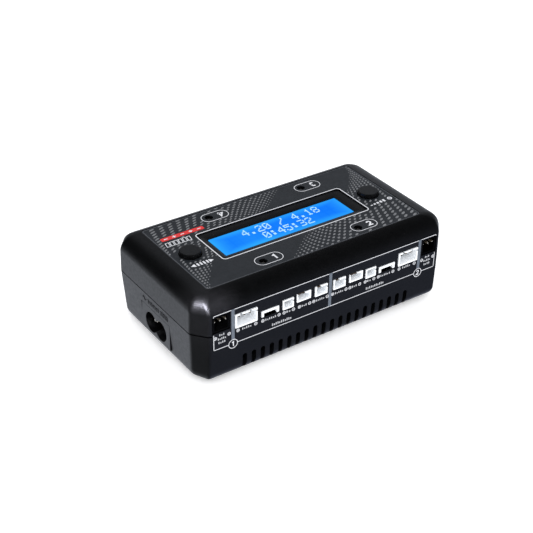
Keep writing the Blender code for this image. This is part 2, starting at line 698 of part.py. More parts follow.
def button(side_name, side):
    """A round cap with a retaining flange, over a tactile switch and its plunger."""
    middle = (side * BUTTON_X, 0, 0)
    bm = bmesh.new()
    flange_top = CEILING_Z - GAP
    profile = (
        (BUTTON_FLANGE_RADIUS, BUTTON_BOTTOM_Z),
        (BUTTON_FLANGE_RADIUS, flange_top),
        (BUTTON_RADIUS, flange_top),
        (BUTTON_RADIUS, BUTTON_TOP_Z - BUTTON_EDGE),
        (BUTTON_RADIUS - BUTTON_EDGE * 0.3, BUTTON_TOP_Z - BUTTON_EDGE * 0.3),
        (BUTTON_RADIUS - BUTTON_EDGE, BUTTON_TOP_Z),
    )
    add_lathe(bm, profile, BUTTON_SEGMENTS)
    place(f"{side_name}_button_cap", bm, BLACK_SATIN, middle)

    bm = bmesh.new()
    low = (-SWITCH_HALF, -SWITCH_HALF, CONTROL_TOP_Z + GAP)
    add_box(bm, low, (SWITCH_HALF, SWITCH_HALF, SWITCH_TOP_Z))
    body = place(f"{side_name}_switch_body", bm, BLACK_SATIN, middle, smooth=False)
    bm = bmesh.new()
    plunger_top = BUTTON_BOTTOM_Z - GAP
    plunger_bottom = plunger_top - PLUNGER_LENGTH
    well = (side * BUTTON_X, 0)
    well_bottom = plunger_bottom - 0.7 * MM
    add_cylinder(bm, 2, well, PLUNGER_RADIUS + GAP, well_bottom, SWITCH_TOP_Z + 1 * MM, 20)
    cut(body, helper(f"{side_name}_switch_well", bm))

    bm = bmesh.new()
    add_cylinder(bm, 2, (0, 0), PLUNGER_RADIUS, plunger_bottom, plunger_top, 20)
    place(f"{side_name}_switch_plunger", bm, BLACK_SATIN, middle)


def lamps():
    """Indicator lamps, a flange and a domed body, one under each numbered hole."""
    places = {1: (-1, -1), 2: (1, -1), 3: (1, 1), 4: (-1, 1)}
    for number, (side_x, side_y) in places.items():
        bm = bmesh.new()
        base = CONTROL_TOP_Z + GAP
        dome_z = LAMP_TOP_Z - LAMP_RADIUS
        profile = [(LAMP_FLANGE_RADIUS, base), (LAMP_FLANGE_RADIUS, base + LAMP_FLANGE)]
        profile.append((LAMP_RADIUS, base + LAMP_FLANGE))
        for step in range(6):
            angle = math.radians(16 * step)
            profile.append((LAMP_RADIUS * math.cos(angle), dome_z + LAMP_RADIUS * math.sin(angle)))
        add_lathe(bm, profile, LAMP_SEGMENTS)
        place(f"channel_{number}_lamp", bm, LAMP_PLASTIC, (side_x * LAMP_X, side_y * LAMP_Y, 0))


def boards():
    bm = bmesh.new()
    bottom = CONTROL_TOP_Z - BOARD
    add_box(bm, (-CONTROL_X, -CONTROL_Y, bottom), (CONTROL_X, CONTROL_Y, CONTROL_TOP_Z))
    control = place("control_board", bm, BOARD_GREEN, smooth=False)
    bm = bmesh.new()
    low = (LINK_X - LINK_HALF_X, LINK_Y - LINK_HALF_Y, MAIN_TOP_Z + GAP)
    add_box(bm, low, (LINK_X + LINK_HALF_X, LINK_Y + LINK_HALF_Y, bottom + 0.5 * MM))
    join(control, helper("board_link_header", bm))

    bm = bmesh.new()
    ring = facet_ring(MAIN_X, MAIN_Y, MAIN_CORNER, MAIN_CORNER, 0)
    add_prism(bm, [point[:2] for point in ring], 2, MAIN_TOP_Z - BOARD, MAIN_TOP_Z)
    main = place("main_board", bm, BOARD_GREEN, smooth=False)
    bm = bmesh.new()
    for x, y in four(SCREW_X, SCREW_Y):
        low_z = MAIN_TOP_Z - BOARD - 1 * MM
        add_cylinder(bm, 2, (x, y), SCREW_RADIUS + 0.5 * MM, low_z, MAIN_TOP_Z + 1 * MM, 16)
    cut(main, helper("main_board_holes", bm))

    bm = bmesh.new()
    low = (POWER_LEFT_X, -POWER_Y, POWER_BOTTOM_Z)
    add_box(bm, low, (POWER_RIGHT_X, POWER_Y, POWER_BOTTOM_Z + BOARD))
    place("power_board", bm, BOARD_GREEN, smooth=False)


def socket_mesh(row):
    """A battery socket with its mouth towards -Y, centred on X and Z, contacts included."""
    name, near, far, bottom, top, mouth, wall, depth, contacts, pitch, rise = row
    half_x = (far - near) / 2 * MM
    half_z = (top - bottom) / 2 * MM
    wall_m = wall * MM
    mouth_y = -mouth * MM
    bm = bmesh.new()
    add_box(bm, (-half_x, mouth_y, -half_z), (half_x, -SOCKET_BACK_Y, half_z))
    housing = place(f"{name}_master", bm, None, smooth=False)

    bm = bmesh.new()
    low_z = -half_z - 1 * MM if name == "slim_socket" else -half_z + wall_m
    low = (-half_x + wall_m, mouth_y - 1 * MM, low_z)
    high = (half_x - wall_m, mouth_y + depth * MM, half_z - wall_m)
    add_box(bm, low, high)
    cut(housing, helper(f"{name}_cavity", bm))

    if name in TOP_OPENINGS:
        bm = bmesh.new()
        for left, right in TOP_OPENINGS[name]:
            low = (-half_x + left * MM, mouth_y - 1 * MM, half_z - wall_m - 0.4 * MM)
            high = (-half_x + right * MM, mouth_y + TOP_OPENING_DEPTH, half_z + 1 * MM)
            add_box(bm, low, high)
        cut(housing, helper(f"{name}_top_openings", bm))

    if name in SIDE_SLOTTED:
        bm = bmesh.new()
        slot_top = half_z - SIDE_SLOT_TOP
        low = (half_x - wall_m - 0.4 * MM, mouth_y - 1 * MM, slot_top - SIDE_SLOT_HEIGHT)
        high = (half_x + 1 * MM, mouth_y + SIDE_SLOT_DEPTH, slot_top)
        add_box(bm, low, high)
        cut(housing, helper(f"{name}_side_slot", bm))

    bm = bmesh.new()
    for index in range(contacts):
        x = (index - (contacts - 1) / 2) * pitch * MM
        low = (x - CONTACT_HALF, mouth_y + CONTACT_SETBACK, rise * MM - CONTACT_HALF)
        high = (x + CONTACT_HALF, mouth_y + depth * MM + CONTACT_ROOT, rise * MM + CONTACT_HALF)
        add_box(bm, low, high)
    join(housing, helper(f"{name}_contacts", bm))
    return baked(housing)


def sockets():
    """Six battery sockets on each of the four channels."""
    for row in SOCKETS:
        mesh = socket_mesh(row)
        spec = BLACK_SATIN if row[0] == "pack_socket" else WHITE_NYLON
        mesh.materials.append(material(spec))
        centre, _, bottom, top, _ = socket_size(row)
        for number, side, turn in channels():
            x = side * centre * math.cos(turn)
            location = (x, 0, (bottom + top) / 2)
            place_mesh(f"channel_{number}_{row[0]}", mesh, spec, location, turn, smooth=False)


def mains_inlet():
    bm = bmesh.new()
    low = (INLET_FACE_X, -INLET_HALF_Y, INLET_LOW_Z)
    add_box(bm, low, (INLET_BACK_X, INLET_HALF_Y, INLET_HIGH_Z))
    housing = place("mains_inlet", bm, BLACK_SATIN)

    waist = math.acos(INLET_LOBE_Y / INLET_LOBE_RADIUS)
    outline = arc((INLET_LOBE_Y, INLET_AXIS_Z), INLET_LOBE_RADIUS, waist - math.pi, math.pi - waist, 17)
    outline += arc((-INLET_LOBE_Y, INLET_AXIS_Z), INLET_LOBE_RADIUS, waist, 2 * math.pi - waist, 17)[1:-1]
    bm = bmesh.new()
    add_prism(bm, outline, 0, INLET_FACE_X - 1 * MM, INLET_FACE_X + INLET_DEPTH)
    cut(housing, helper("inlet_cavity", bm))

    bm = bmesh.new()
    for side in (-1, 1):
        centre = (side * INLET_PIN_Y, INLET_AXIS_Z)
        start = INLET_FACE_X + INLET_DEPTH - 1 * MM
        add_cylinder(bm, 0, centre, INLET_PIN_RADIUS + GAP, start, INLET_BACK_X + 1 * MM, 16)
    cut(housing, helper("inlet_pin_holes", bm))

    for name, side in (("live_pin", 1), ("neutral_pin", -1)):
        bm = bmesh.new()
        tip = INLET_FACE_X + INLET_PIN_SETBACK
        nose = 0.5 * MM
        rings = []
        for x, radius in (
            (tip, INLET_PIN_RADIUS - nose),
            (tip + nose, INLET_PIN_RADIUS),
            (INLET_PIN_BACK_X, INLET_PIN_RADIUS),
        ):
            rings.append([(x, y, z) for y, z in circle((0, 0), radius, 16)])
        add_loft(bm, rings)
        place(name, bm, PIN_METAL, (0, side * INLET_PIN_Y, INLET_AXIS_Z))


def screws_and_feet():
    for number, (x, y) in enumerate(four(SCREW_X, SCREW_Y), 1):
        bm = bmesh.new()
        head_top = SCREW_SEAT_Z - GAP
        profile = (
            (SCREW_HEAD_RADIUS - 0.3 * MM, SCREW_HEAD_Z),
            (SCREW_HEAD_RADIUS, SCREW_HEAD_Z + 0.4 * MM),
            (SCREW_HEAD_RADIUS, head_top),
            (SCREW_RADIUS, head_top),
            (SCREW_RADIUS, SCREW_TIP_Z - 1.5 * MM),
            (SCREW_RADIUS * 0.35, SCREW_TIP_Z),
        )
        add_lathe(bm, profile, 16)
        screw = place(f"case_screw_{number}", bm, STEEL, (x, y, 0))
        bm = bmesh.new()
        arm = 1.5 * MM
        slot = 0.35 * MM
        depth = SCREW_HEAD_Z + SCREW_RECESS
        bar = (x - arm, y - slot, 0), (x + arm, y + slot, depth)
        add_box(bm, *bar)
        cut(screw, helper(f"screw_recess_{number}_a", bm))
        bm = bmesh.new()
        bar = (x - slot, y - arm, 0), (x + slot, y + arm, depth)
        add_box(bm, *bar)
        cut(screw, helper(f"screw_recess_{number}_b", bm))

    for number, (x, y) in enumerate(four(FOOT_X, FOOT_Y), 1):
        bm = bmesh.new()
        edge = 0.4 * MM
        profile = ((FOOT_RADIUS - edge, 0), (FOOT_RADIUS, edge), (FOOT_RADIUS, FOOT_HEIGHT))
        add_lathe(bm, profile, 24)
        place(f"rubber_foot_{number}", bm, RUBBER, (x, y, 0))


def in_metres(corner):
    return tuple(value * MM for value in corner)


def power_supply():
    low, high = (in_metres(corner) for corner in CORE_BOX)
    bm = bmesh.new()
    add_box(bm, low, high)
    core = place("transformer_core", bm, FERRITE, smooth=False)
    bm = bmesh.new()
    window_low = (-COIL_HALF_X - GAP, low[1] - 1 * MM, low[2] + CORE_BAR - GAP)
    window_high = (COIL_HALF_X + GAP, high[1] + 1 * MM, high[2] - CORE_BAR + GAP)
    add_box(bm, window_low, window_high)
    cut(core, helper("core_window", bm))
    bm = bmesh.new()
    coil_low = (-COIL_HALF_X, -COIL_HALF_Y, low[2] + CORE_BAR)
    add_box(bm, coil_low, (COIL_HALF_X, COIL_HALF_Y, high[2] - CORE_BAR))
    place("transformer_coil", bm, COIL_TAPE, smooth=False)

    bm = bmesh.new()
    centre = in_metres((CAPACITOR_Y, CAPACITOR_Z))
    start, end = in_metres(CAPACITOR_X)
    add_cylinder(bm, 0, centre, CAPACITOR_RADIUS, start, end, 24)
    place("bulk_capacitor", bm, SLEEVE)

    bm = bmesh.new()
    start, end = in_metres(FUSE_X)
    cap_length = 5 * MM
    profile = (
        (FUSE_CAP_RADIUS, start),
        (FUSE_CAP_RADIUS, start + cap_length),
        (FUSE_RADIUS, start + cap_length),
        (FUSE_RADIUS, end - cap_length),
        (FUSE_CAP_RADIUS, end - cap_length),
        (FUSE_CAP_RADIUS, end),
    )
    centre = in_metres((FUSE_Y, FUSE_Z))
    add_loft(bm, [[(x, y, z) for y, z in circle(centre, radius, 16)] for radius, x in profile])
    place("mains_fuse", bm, FUSE_GLASS)

    low, high = (in_metres(corner) for corner in HEATSINK_BOX)
    pitch = (high[1] - low[1] - HEATSINK_FIN_WIDTH) / (HEATSINK_FINS - 1)
    outline = [(low[1], low[2]), (high[1], low[2])]
    for index in reversed(range(HEATSINK_FINS)):
        fin = low[1] + index * pitch
        top = [(fin + HEATSINK_FIN_WIDTH, HEATSINK_FIN_TOP_Z), (fin, HEATSINK_FIN_TOP_Z)]
        root = [(fin + HEATSINK_FIN_WIDTH, high[2])] if index < HEATSINK_FINS - 1 else []
        outline += root + top
        if index > 0:
            outline.append((fin, high[2]))
    bm = bmesh.new()
    add_prism(bm, outline, 0, low[0], high[0])
    place("heatsink", bm, ALUMINIUM, smooth=False)


def build():
    clear_scene()
    upper_shell()
    lower_shell()
    top_label()
    side_labels()
    display()
    button("left", -1)
    button("right", 1)
    lamps()
    boards()
    sockets()
    mains_inlet()
    screws_and_feet()
    power_supply()


build()
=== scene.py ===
"""Balance battery charger: materials, printed marks, contacts, display digits and studio.

The CAD frame gives every position. Marks and contacts are in millimetres, the scene is in metres.
"""
import json
import math

import bpy
from mathutils import Matrix, Vector

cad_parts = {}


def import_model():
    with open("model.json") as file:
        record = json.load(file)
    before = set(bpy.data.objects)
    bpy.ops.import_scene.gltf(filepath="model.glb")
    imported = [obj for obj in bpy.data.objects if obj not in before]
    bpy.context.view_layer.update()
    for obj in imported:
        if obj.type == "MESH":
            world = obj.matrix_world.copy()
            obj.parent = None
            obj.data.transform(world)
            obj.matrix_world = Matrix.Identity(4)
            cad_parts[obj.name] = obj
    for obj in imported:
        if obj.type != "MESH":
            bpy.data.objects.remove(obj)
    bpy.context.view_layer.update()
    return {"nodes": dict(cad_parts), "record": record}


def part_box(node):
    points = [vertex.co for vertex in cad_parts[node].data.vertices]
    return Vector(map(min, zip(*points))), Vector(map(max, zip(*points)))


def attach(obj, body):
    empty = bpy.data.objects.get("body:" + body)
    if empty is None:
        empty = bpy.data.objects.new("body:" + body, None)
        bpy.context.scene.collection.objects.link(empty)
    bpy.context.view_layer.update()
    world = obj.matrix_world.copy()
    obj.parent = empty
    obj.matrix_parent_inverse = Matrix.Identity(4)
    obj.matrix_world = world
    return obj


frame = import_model()

MM = 0.001
LABEL_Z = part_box("top_label")[1][2]
FRONT_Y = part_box("front_label")[0][1]
REAR_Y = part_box("rear_label")[1][1]
SCREEN_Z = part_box("display_screen")[1][2]
SCREEN_Y = (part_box("display_screen")[0][1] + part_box("display_screen")[1][1]) / 2
SEAM_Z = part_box("upper_shell")[0][2] - 0.07 * MM  # middle of the painted shade along the parting line
SEAM_DARK = 0.2 * MM  # painted shade is fully dark this far from its middle
SEAM_CLEAR = 0.36 * MM  # painted shade ends here
# Colour of the painted shade in the groove between the shells
SEAM_SHADE_COLOUR = (0.0002, 0.0002, 0.0002)
INK = 0.03  # height of printed marks, mm
THIN_INK = 0.02  # the same for dashes and display dots
OVERPRINT = 0.05  # height of signs printed on the red bar, mm
SUNK = -0.01  # marks reach this far below their surface, mm
LINE = 0.29  # width of a printed line, mm
CELL_X = 3.55  # pitch of the display's character cells, mm
CELL_Y = 5.95
SCREEN_HALF_Y = 7.0  # half of the lit window's height, mm


# ---------------------------------------------------------------- materials

class Nodes:
    """Short calls that add and join the nodes of one node tree."""

    def __init__(self, tree):
        self.tree = tree

    def add(self, kind, **settings):
        node = self.tree.nodes.new(kind)
        for key, value in settings.items():
            setattr(node, key, value)
        return node

    def put(self, target, value):
        """Set a socket to a constant, or link it to another node's socket."""
        if isinstance(value, bpy.types.NodeSocket):
            self.tree.links.new(value, target)
        else:
            target.default_value = value

    def math(self, operation, first, second=0.0):
        node = self.add("ShaderNodeMath", operation=operation)
        self.put(node.inputs[0], first)
        self.put(node.inputs[1], second)
        return node.outputs[0]

    def spread(self, value, low, high, to_low=0.0, to_high=1.0, kind="LINEAR"):
        node = self.add("ShaderNodeMapRange", interpolation_type=kind)
        self.put(node.inputs["Value"], value)
        node.inputs["From Min"].default_value = low
        node.inputs["From Max"].default_value = high
        node.inputs["To Min"].default_value = to_low
        node.inputs["To Max"].default_value = to_high
        return node.outputs[0]

    def mix(self, share, first, second):
        node = self.add("ShaderNodeMix", data_type="RGBA")
        self.put(node.inputs[0], share)
        for socket, value in ((node.inputs[6], first), (node.inputs[7], second)):
            self.put(socket, value if isinstance(value, bpy.types.NodeSocket) else (*value, 1))
        return node.outputs[2]

    def noise(self, where, scale, detail=2.0, roughness=0.5):
        node = self.add("ShaderNodeTexNoise")
        self.put(node.inputs["Vector"], where)
        node.inputs["Scale"].default_value = scale
        node.inputs["Detail"].default_value = detail
        node.inputs["Roughness"].default_value = roughness
        return node.outputs["Fac"]

    def from_cell_middle(self, value, pitch):
        """Distance from the middle of the cell of a row of cells, as a share of their pitch."""
        cells = self.math("ADD", self.math("DIVIDE", value, pitch), 100.0)
        return self.math("ABSOLUTE", self.math("SUBTRACT", self.math("FRACT", cells), 0.5))

    def within(self, first, first_limit, second, second_limit):
        """One where both values are under their limits."""
        return self.math("MULTIPLY", self.math("LESS_THAN", first, first_limit),
                         self.math("LESS_THAN", second, second_limit))

    def dots(self, where, scale, radius):
        """Sparse round specks."""
        node = self.add("ShaderNodeTexVoronoi")
        self.put(node.inputs["Vector"], where)
        node.inputs["Scale"].default_value = scale
        return self.spread(node.outputs["Distance"], radius * 0.6, radius, 1.0, 0.0)


def new_material(name):
    """A node material with its Principled BSDF and the object coordinates that its patterns use."""
    made = bpy.data.materials.new(name)
    made.use_nodes = True
    nodes = Nodes(made.node_tree)
    where = nodes.add("ShaderNodeTexCoord").outputs["Object"]
    return made, nodes, made.node_tree.nodes["Principled BSDF"], where


def surface(name, dark, light, rough=(0.36, 0.46), cloud=500, grain=5000, relief=0.012, specks=None,
            metallic=0.0, specular=0.5, coat=0.0, seam_shade=False):
    """Two tones mixed by cloudy and fine noise, uneven gloss and a fine relief whose height is in mm.

    Specks are their scale, radius and colour. The seam flag paints the shade of the shells' parting groove as
    a dark band.
    """
    made, nodes, shader, where = new_material(name)
    cloudy = nodes.spread(nodes.noise(where, cloud, 4.0, 0.6), 0.3, 0.7, 0.0, 0.6)
    fine = nodes.math("MULTIPLY", nodes.noise(where, grain, 2.0), 0.4)
    colour = nodes.mix(nodes.math("ADD", cloudy, fine), dark, light)
    if specks:
        scale, radius, speck_colour = specks
        colour = nodes.mix(nodes.dots(where, scale, radius), colour, speck_colour)
    gloss = nodes.spread(nodes.noise(where, cloud * 2.3, 3.0), 0.3, 0.7, *rough)
    # Painted shade: a dark band without gloss along the parting groove
    if seam_shade:
        parts = nodes.add("ShaderNodeSeparateXYZ")
        nodes.put(parts.inputs[0], where)
        away = nodes.math("ABSOLUTE", nodes.math("SUBTRACT", parts.outputs[2], SEAM_Z))
        near = nodes.spread(away, SEAM_DARK, SEAM_CLEAR, 1.0, 0.0)
        colour = nodes.mix(near, colour, SEAM_SHADE_COLOUR)
        nodes.put(shader.inputs["Metallic"], near)  # painted shade: a black metal reflects nothing at any angle, so the band stays dark
    else:
        shader.inputs["Metallic"].default_value = metallic
    nodes.put(shader.inputs["Base Color"], colour)
    nodes.put(shader.inputs["Roughness"], gloss)
    bump = nodes.add("ShaderNodeBump")
    bump.inputs["Strength"].default_value = 0.6
    bump.inputs["Distance"].default_value = relief * MM
    nodes.put(bump.inputs["Height"], nodes.noise(where, grain * 0.7, 3.0))
    nodes.put(shader.inputs["Normal"], bump.outputs["Normal"])
    shader.inputs["Specular IOR Level"].default_value = specular
    shader.inputs["Coat Weight"].default_value = coat
    return made


def screen_material():
    """Lit blue display: paler towards its ends and edges, with the faint cells of unlit characters."""
    made, nodes, shader, where = new_material("lit_blue_display")
    parts = nodes.add("ShaderNodeSeparateXYZ")
    nodes.put(parts.inputs[0], where)
    half_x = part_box("display_screen")[1][0]
    along = nodes.math("DIVIDE", nodes.math("ABSOLUTE", parts.outputs[0]), half_x)
    from_middle = nodes.math("SUBTRACT", parts.outputs[1], SCREEN_Y)
    across = nodes.math("DIVIDE", nodes.math("ABSOLUTE", from_middle), SCREEN_HALF_Y * MM)
    ends = nodes.spread(along, 0.66, 0.97, 0.0, 0.95, "SMOOTHSTEP")
    edges = nodes.spread(across, 0.4, 1.05, 0.0, 0.7, "SMOOTHSTEP")
    wave = nodes.spread(nodes.noise(where, 45, 1.0), 0.35, 0.65, 0.0, 0.3)
    share = nodes.math("ADD", nodes.math("MAXIMUM", ends, edges), wave)
    colour = nodes.mix(share, (0.0, 0.17, 0.99), (0.025, 0.4, 0.95))
    cell = nodes.within(nodes.from_cell_middle(parts.outputs[0], CELL_X * MM), 0.41,
                        nodes.from_cell_middle(from_middle, CELL_Y * MM), 0.42)
    inside = nodes.within(along, 0.78, across, 0.86)
    faint = nodes.math("MULTIPLY", nodes.math("MULTIPLY", cell, inside), 0.035)
    colour = nodes.mix(faint, colour, (0.04, 0.5, 1.0))
    shader.inputs["Base Color"].default_value = (0.0, 0.01, 0.03, 1)
    nodes.put(shader.inputs["Emission Color"], colour)
    shader.inputs["Emission Strength"].default_value = 1.0
    nodes.put(shader.inputs["Roughness"], nodes.spread(nodes.noise(where, 300), 0.3, 0.7, 0.1, 0.16))
    shader.inputs["Specular IOR Level"].default_value = 0.05
    return made


def digit_material():
    """Pale lit dots of the display's characters."""
    made, nodes, shader, where = new_material("display_segments")
    tone = nodes.spread(nodes.noise(where, 120), 0.3, 0.7)
    shader.inputs["Base Color"].default_value = (0.02, 0.06, 0.1, 1)
    nodes.put(shader.inputs["Emission Color"], nodes.mix(tone, (0.42, 0.78, 0.98), (0.58, 0.9, 1.0)))
    shader.inputs["Emission Strength"].default_value = 0.92
    shader.inputs["Roughness"].default_value = 0.2
    return made


def board_material():
    """Green laminate with tracks and round pads under the lacquer."""
    made, nodes, shader, where = new_material("green_laminate")
    track = nodes.add("ShaderNodeTexVoronoi", distance="CHEBYCHEV", feature="DISTANCE_TO_EDGE")
    track.inputs["Scale"].default_value = 260
    nodes.put(track.inputs["Vector"], where)
    copper = nodes.spread(track.outputs["Distance"], 0.04, 0.06, 1.0, 0.0)
    pads = nodes.dots(where, 420, 0.22)
    weave = nodes.spread(nodes.noise(where, 4000, 2.0), 0.3, 0.7)
    colour = nodes.mix(weave, (0.003, 0.014, 0.006), (0.005, 0.022, 0.009))
    colour = nodes.mix(copper, colour, (0.008, 0.035, 0.014))
    colour = nodes.mix(pads, colour, (0.1, 0.1, 0.09))
    nodes.put(shader.inputs["Base Color"], colour)
    nodes.put(shader.inputs["Roughness"], nodes.spread(pads, 0, 1, 0.35, 0.25))
    bump = nodes.add("ShaderNodeBump")
    bump.inputs["Distance"].default_value = 0.03 * MM
    nodes.put(bump.inputs["Height"], nodes.math("ADD", copper, pads))
    nodes.put(shader.inputs["Normal"], bump.outputs["Normal"])
    return made


def banded(name, dark, light, axis, pitch, rough, metallic=0.0):
    """Fine bands across one axis: turned metal, tape edges or extrusion lines."""
    made, nodes, shader, where = new_material(name)
    parts = nodes.add("ShaderNodeSeparateXYZ")
    nodes.put(parts.inputs[0], where)
    wave = nodes.math("SINE", nodes.math("MULTIPLY", parts.outputs[axis], 2 * math.pi / (pitch * MM)))
    share = nodes.math("ADD", nodes.spread(wave, -1, 1, 0.0, 0.6),
                       nodes.math("MULTIPLY", nodes.noise(where, 1500, 3.0), 0.4))
    nodes.put(shader.inputs["Base Color"], nodes.mix(share, dark, light))
    nodes.put(shader.inputs["Roughness"], nodes.spread(share, 0, 1, *rough))
    shader.inputs["Metallic"].default_value = metallic
    bump = nodes.add("ShaderNodeBump")
    bump.inputs["Strength"].default_value = 0.4
    bump.inputs["Distance"].default_value = 0.02 * MM
    nodes.put(bump.inputs["Height"], share)
    nodes.put(shader.inputs["Normal"], bump.outputs["Normal"])
    return made


DUST = (160, 0.02, (0.04, 0.04, 0.045))  # scale, radius and colour of specks
LOOKS = {
    # The shell's material also paints the shade of the parting groove
    "shell_plastic": surface("black_moulded_plastic", (0.0008, 0.0009, 0.0012), (0.0022, 0.0023, 0.0029),
                             (0.36, 0.45), 350, 4200, 0.03, DUST, seam_shade=True),
    "satin_plastic": surface("black_satin_plastic", (0.0008, 0.0008, 0.001), (0.002, 0.002, 0.0024),
                             (0.3, 0.4), 500, 6000, 0.008),
    "label_film": surface("dark_label_film", (0.0105, 0.013, 0.0165), (0.0165, 0.0195, 0.024),
                          (0.4, 0.5), 260, 7000, 0.006),
    "white_nylon": surface("white_nylon", (0.86, 0.89, 0.92), (0.92, 0.94, 0.96),
                           (0.4, 0.5), 700, 5000, 0.006),
    "blue_screen": screen_material(),
    "board_laminate": board_material(),
    "foot_rubber": surface("black_rubber", (0.008, 0.008, 0.008), (0.02, 0.02, 0.02),
                           (0.75, 0.9), 900, 3000, 0.05),
    "screw_steel": banded("blackened_steel", (0.12, 0.12, 0.125), (0.22, 0.22, 0.23),
                          2, 0.5, (0.3, 0.42), 1.0),
    "pin_metal": surface("plated_contact", (0.72, 0.7, 0.66), (0.88, 0.86, 0.82),
                         (0.2, 0.32), 900, 6000, 0.004, metallic=0.4),
    "lamp_plastic": surface("smoked_lamp", (0.02, 0.019, 0.019), (0.045, 0.042, 0.04),
                            (0.12, 0.2), 700, 5000, 0.002),
    "ferrite": surface("sintered_ferrite", (0.02, 0.02, 0.021), (0.05, 0.05, 0.052),
                       (0.6, 0.8), 900, 3000, 0.03),
    "coil_tape": banded("polyester_tape", (0.62, 0.42, 0.04), (0.8, 0.6, 0.08), 0, 1.2, (0.25, 0.4)),
    "capacitor_sleeve": surface("shrink_sleeve", (0.012, 0.012, 0.03), (0.022, 0.022, 0.05),
                                (0.2, 0.3), 400, 2500, 0.01, coat=0.3),
    "fuse_ceramic": surface("glazed_ceramic", (0.7, 0.68, 0.62), (0.8, 0.78, 0.73),
                            (0.2, 0.35), 600, 3000, 0.01),
    "heatsink_aluminium": banded("extruded_aluminium", (0.55, 0.56, 0.57), (0.72, 0.73, 0.74),
                                 2, 0.4, (0.3, 0.42), 1.0),
}
SIDE_FILM = surface("side_label_film", (0.0018, 0.0022, 0.0036), (0.004, 0.0045, 0.0066),
                    (0.38, 0.46), 300, 6000, 0.006)
PACK_BLACK = surface("pack_socket_plastic", (0.0004, 0.0004, 0.0005), (0.001, 0.001, 0.0012),
                     (0.4, 0.5), 500, 6000, 0.008, specular=0.08)
# Painted shade: contact metal darkened as it looks deep in the sockets
SHADED_CONTACT = surface("contact_painted_shade", (0.09, 0.075, 0.055), (0.17, 0.145, 0.105),
                   (0.3, 0.42), 900, 6000, 0.004, metallic=0.4)
WHITE_INK = surface("white_ink", (0.55, 0.56, 0.58), (0.68, 0.69, 0.72), (0.45, 0.6), 900, 6000, 0.004)
BAND_INK = surface("grey_ink", (0.1, 0.12, 0.15), (0.135, 0.16, 0.195), (0.45, 0.6), 900, 6000, 0.004)
DIM_INK = surface("dim_white_ink", (0.42, 0.43, 0.45), (0.54, 0.55, 0.57), (0.45, 0.6), 900, 6000, 0.004)
# Painted highlight: the pale line of light caught along the label's edge
RIM_HIGHLIGHT_PAINT = surface("painted_label_rim_highlight", (0.05, 0.055, 0.065), (0.085, 0.092, 0.105), (0.4, 0.5), 150, 6000, 0.004)
DASH_INK = surface("dash_ink", (0.11, 0.114, 0.12), (0.18, 0.186, 0.195), (0.45, 0.55), 200, 6000, 0.004)
RED_INK = surface("red_ink", (0.5, 0.012, 0.012), (0.68, 0.025, 0.022), (0.4, 0.5), 600, 6000, 0.004)
RAISED = surface("raised_mark_plastic", (0.001, 0.001, 0.0012), (0.002, 0.002, 0.0024),
                 (0.46, 0.54), 500, 5000, 0.01)
# Bronze contacts; their dark tone is painted shade under the sockets' roofs
SHADED_BRONZE = surface("bronze_contact_painted_shade", (0.1, 0.075, 0.055), (0.16, 0.12, 0.09),
                 (0.3, 0.42), 900, 6000, 0.004, metallic=0.3)
DIGITS_LIT = digit_material()


# ---------------------------------------------------------------- CAD nodes

BEVELS = {"white_nylon": 0.16, "pin_metal": 0.12, "satin_plastic": 0.12}  # mm, by material slot
WELD_DISTANCE = 0.002 * MM
BEVELLED_FROM = math.radians(50)
SPLIT_FROM = math.radians(32)


def finish_node(node, slot):
    """Weld and smooth a CAD mesh, round its hard edges a little and give it its material."""
    mesh = node.data
    if "custom_normal" in mesh.attributes:
        mesh.attributes.remove(mesh.attributes["custom_normal"])
    for polygon in mesh.polygons:
        polygon.use_smooth = True
    mesh.materials.clear()
    mesh.materials.append(LOOKS[slot])
    weld = node.modifiers.new("weld", "WELD")
    weld.merge_threshold = WELD_DISTANCE
    if slot in BEVELS:
        bevel = node.modifiers.new("soft_edges", "BEVEL")
        bevel.width = BEVELS[slot] * MM
        bevel.segments = 2
        bevel.limit_method = "ANGLE"
        bevel.angle_limit = BEVELLED_FROM
    split = node.modifiers.new("hard_edges", "EDGE_SPLIT")
    split.split_angle = SPLIT_FROM
    even = node.modifiers.new("even_faces", "WEIGHTED_NORMAL")
    even.keep_sharp = True


for row in frame["record"]["subparts"]:
    finish_node(frame["nodes"][row["node"]], row["material_slot"])
# Painted light: white nylon glows faintly, so its hollows stay pale
nylon = LOOKS["white_nylon"].node_tree.nodes["Principled BSDF"]
nylon.inputs["Emission Color"].default_value = (0.85, 0.92, 1.0, 1)
nylon.inputs["Emission Strength"].default_value = 0.03
for side_label in ("front_label", "rear_label"):
    frame["nodes"][side_label].data.materials[0] = SIDE_FILM
for channel in range(1, 5):
    frame["nodes"][f"channel_{channel}_pack_socket"].data.materials[0] = PACK_BLACK


# ---------------------------------------------------------------- printed marks

def mesh_piece(name, verts, faces, material):
    """A piece of the fixed body, made from corners in metres."""
    mesh = bpy.data.meshes.new(name)
    mesh.from_pydata(verts, [], faces)
    mesh.validate()
    mesh.materials.append(material)
    piece = bpy.data.objects.new(name, mesh)
    bpy.context.scene.collection.objects.link(piece)
    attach(piece, "charger")


def circle(centre, radius, count, first=0.0, last=2 * math.pi):
    """Points of a circle, or of an arc when first and last are given."""
    whole = abs(last - first - 2 * math.pi) < 0.001
    steps = count if whole else count - 1
    angles = (first + (last - first) * k / steps for k in range(count))
    return [(centre[0] + radius * math.cos(a), centre[1] + radius * math.sin(a)) for a in angles]


def rounded(low, high, radius, count=6):
    """Outline of a rectangle with round corners."""
    corners = (
        ((high[0] - radius, high[1] - radius), 0),
        ((low[0] + radius, high[1] - radius), 1),
        ((low[0] + radius, low[1] + radius), 2),
        ((high[0] - radius, low[1] + radius), 3),
    )
    points = []
    for centre, quarter in corners:
        points += circle(centre, radius, count, quarter * math.pi / 2, (quarter + 1) * math.pi / 2)
    return points


def box_outline(left, right, bottom, top):
    """Corners of an upright rectangle, anticlockwise."""
    return [(left, bottom), (right, bottom), (right, top), (left, top)]


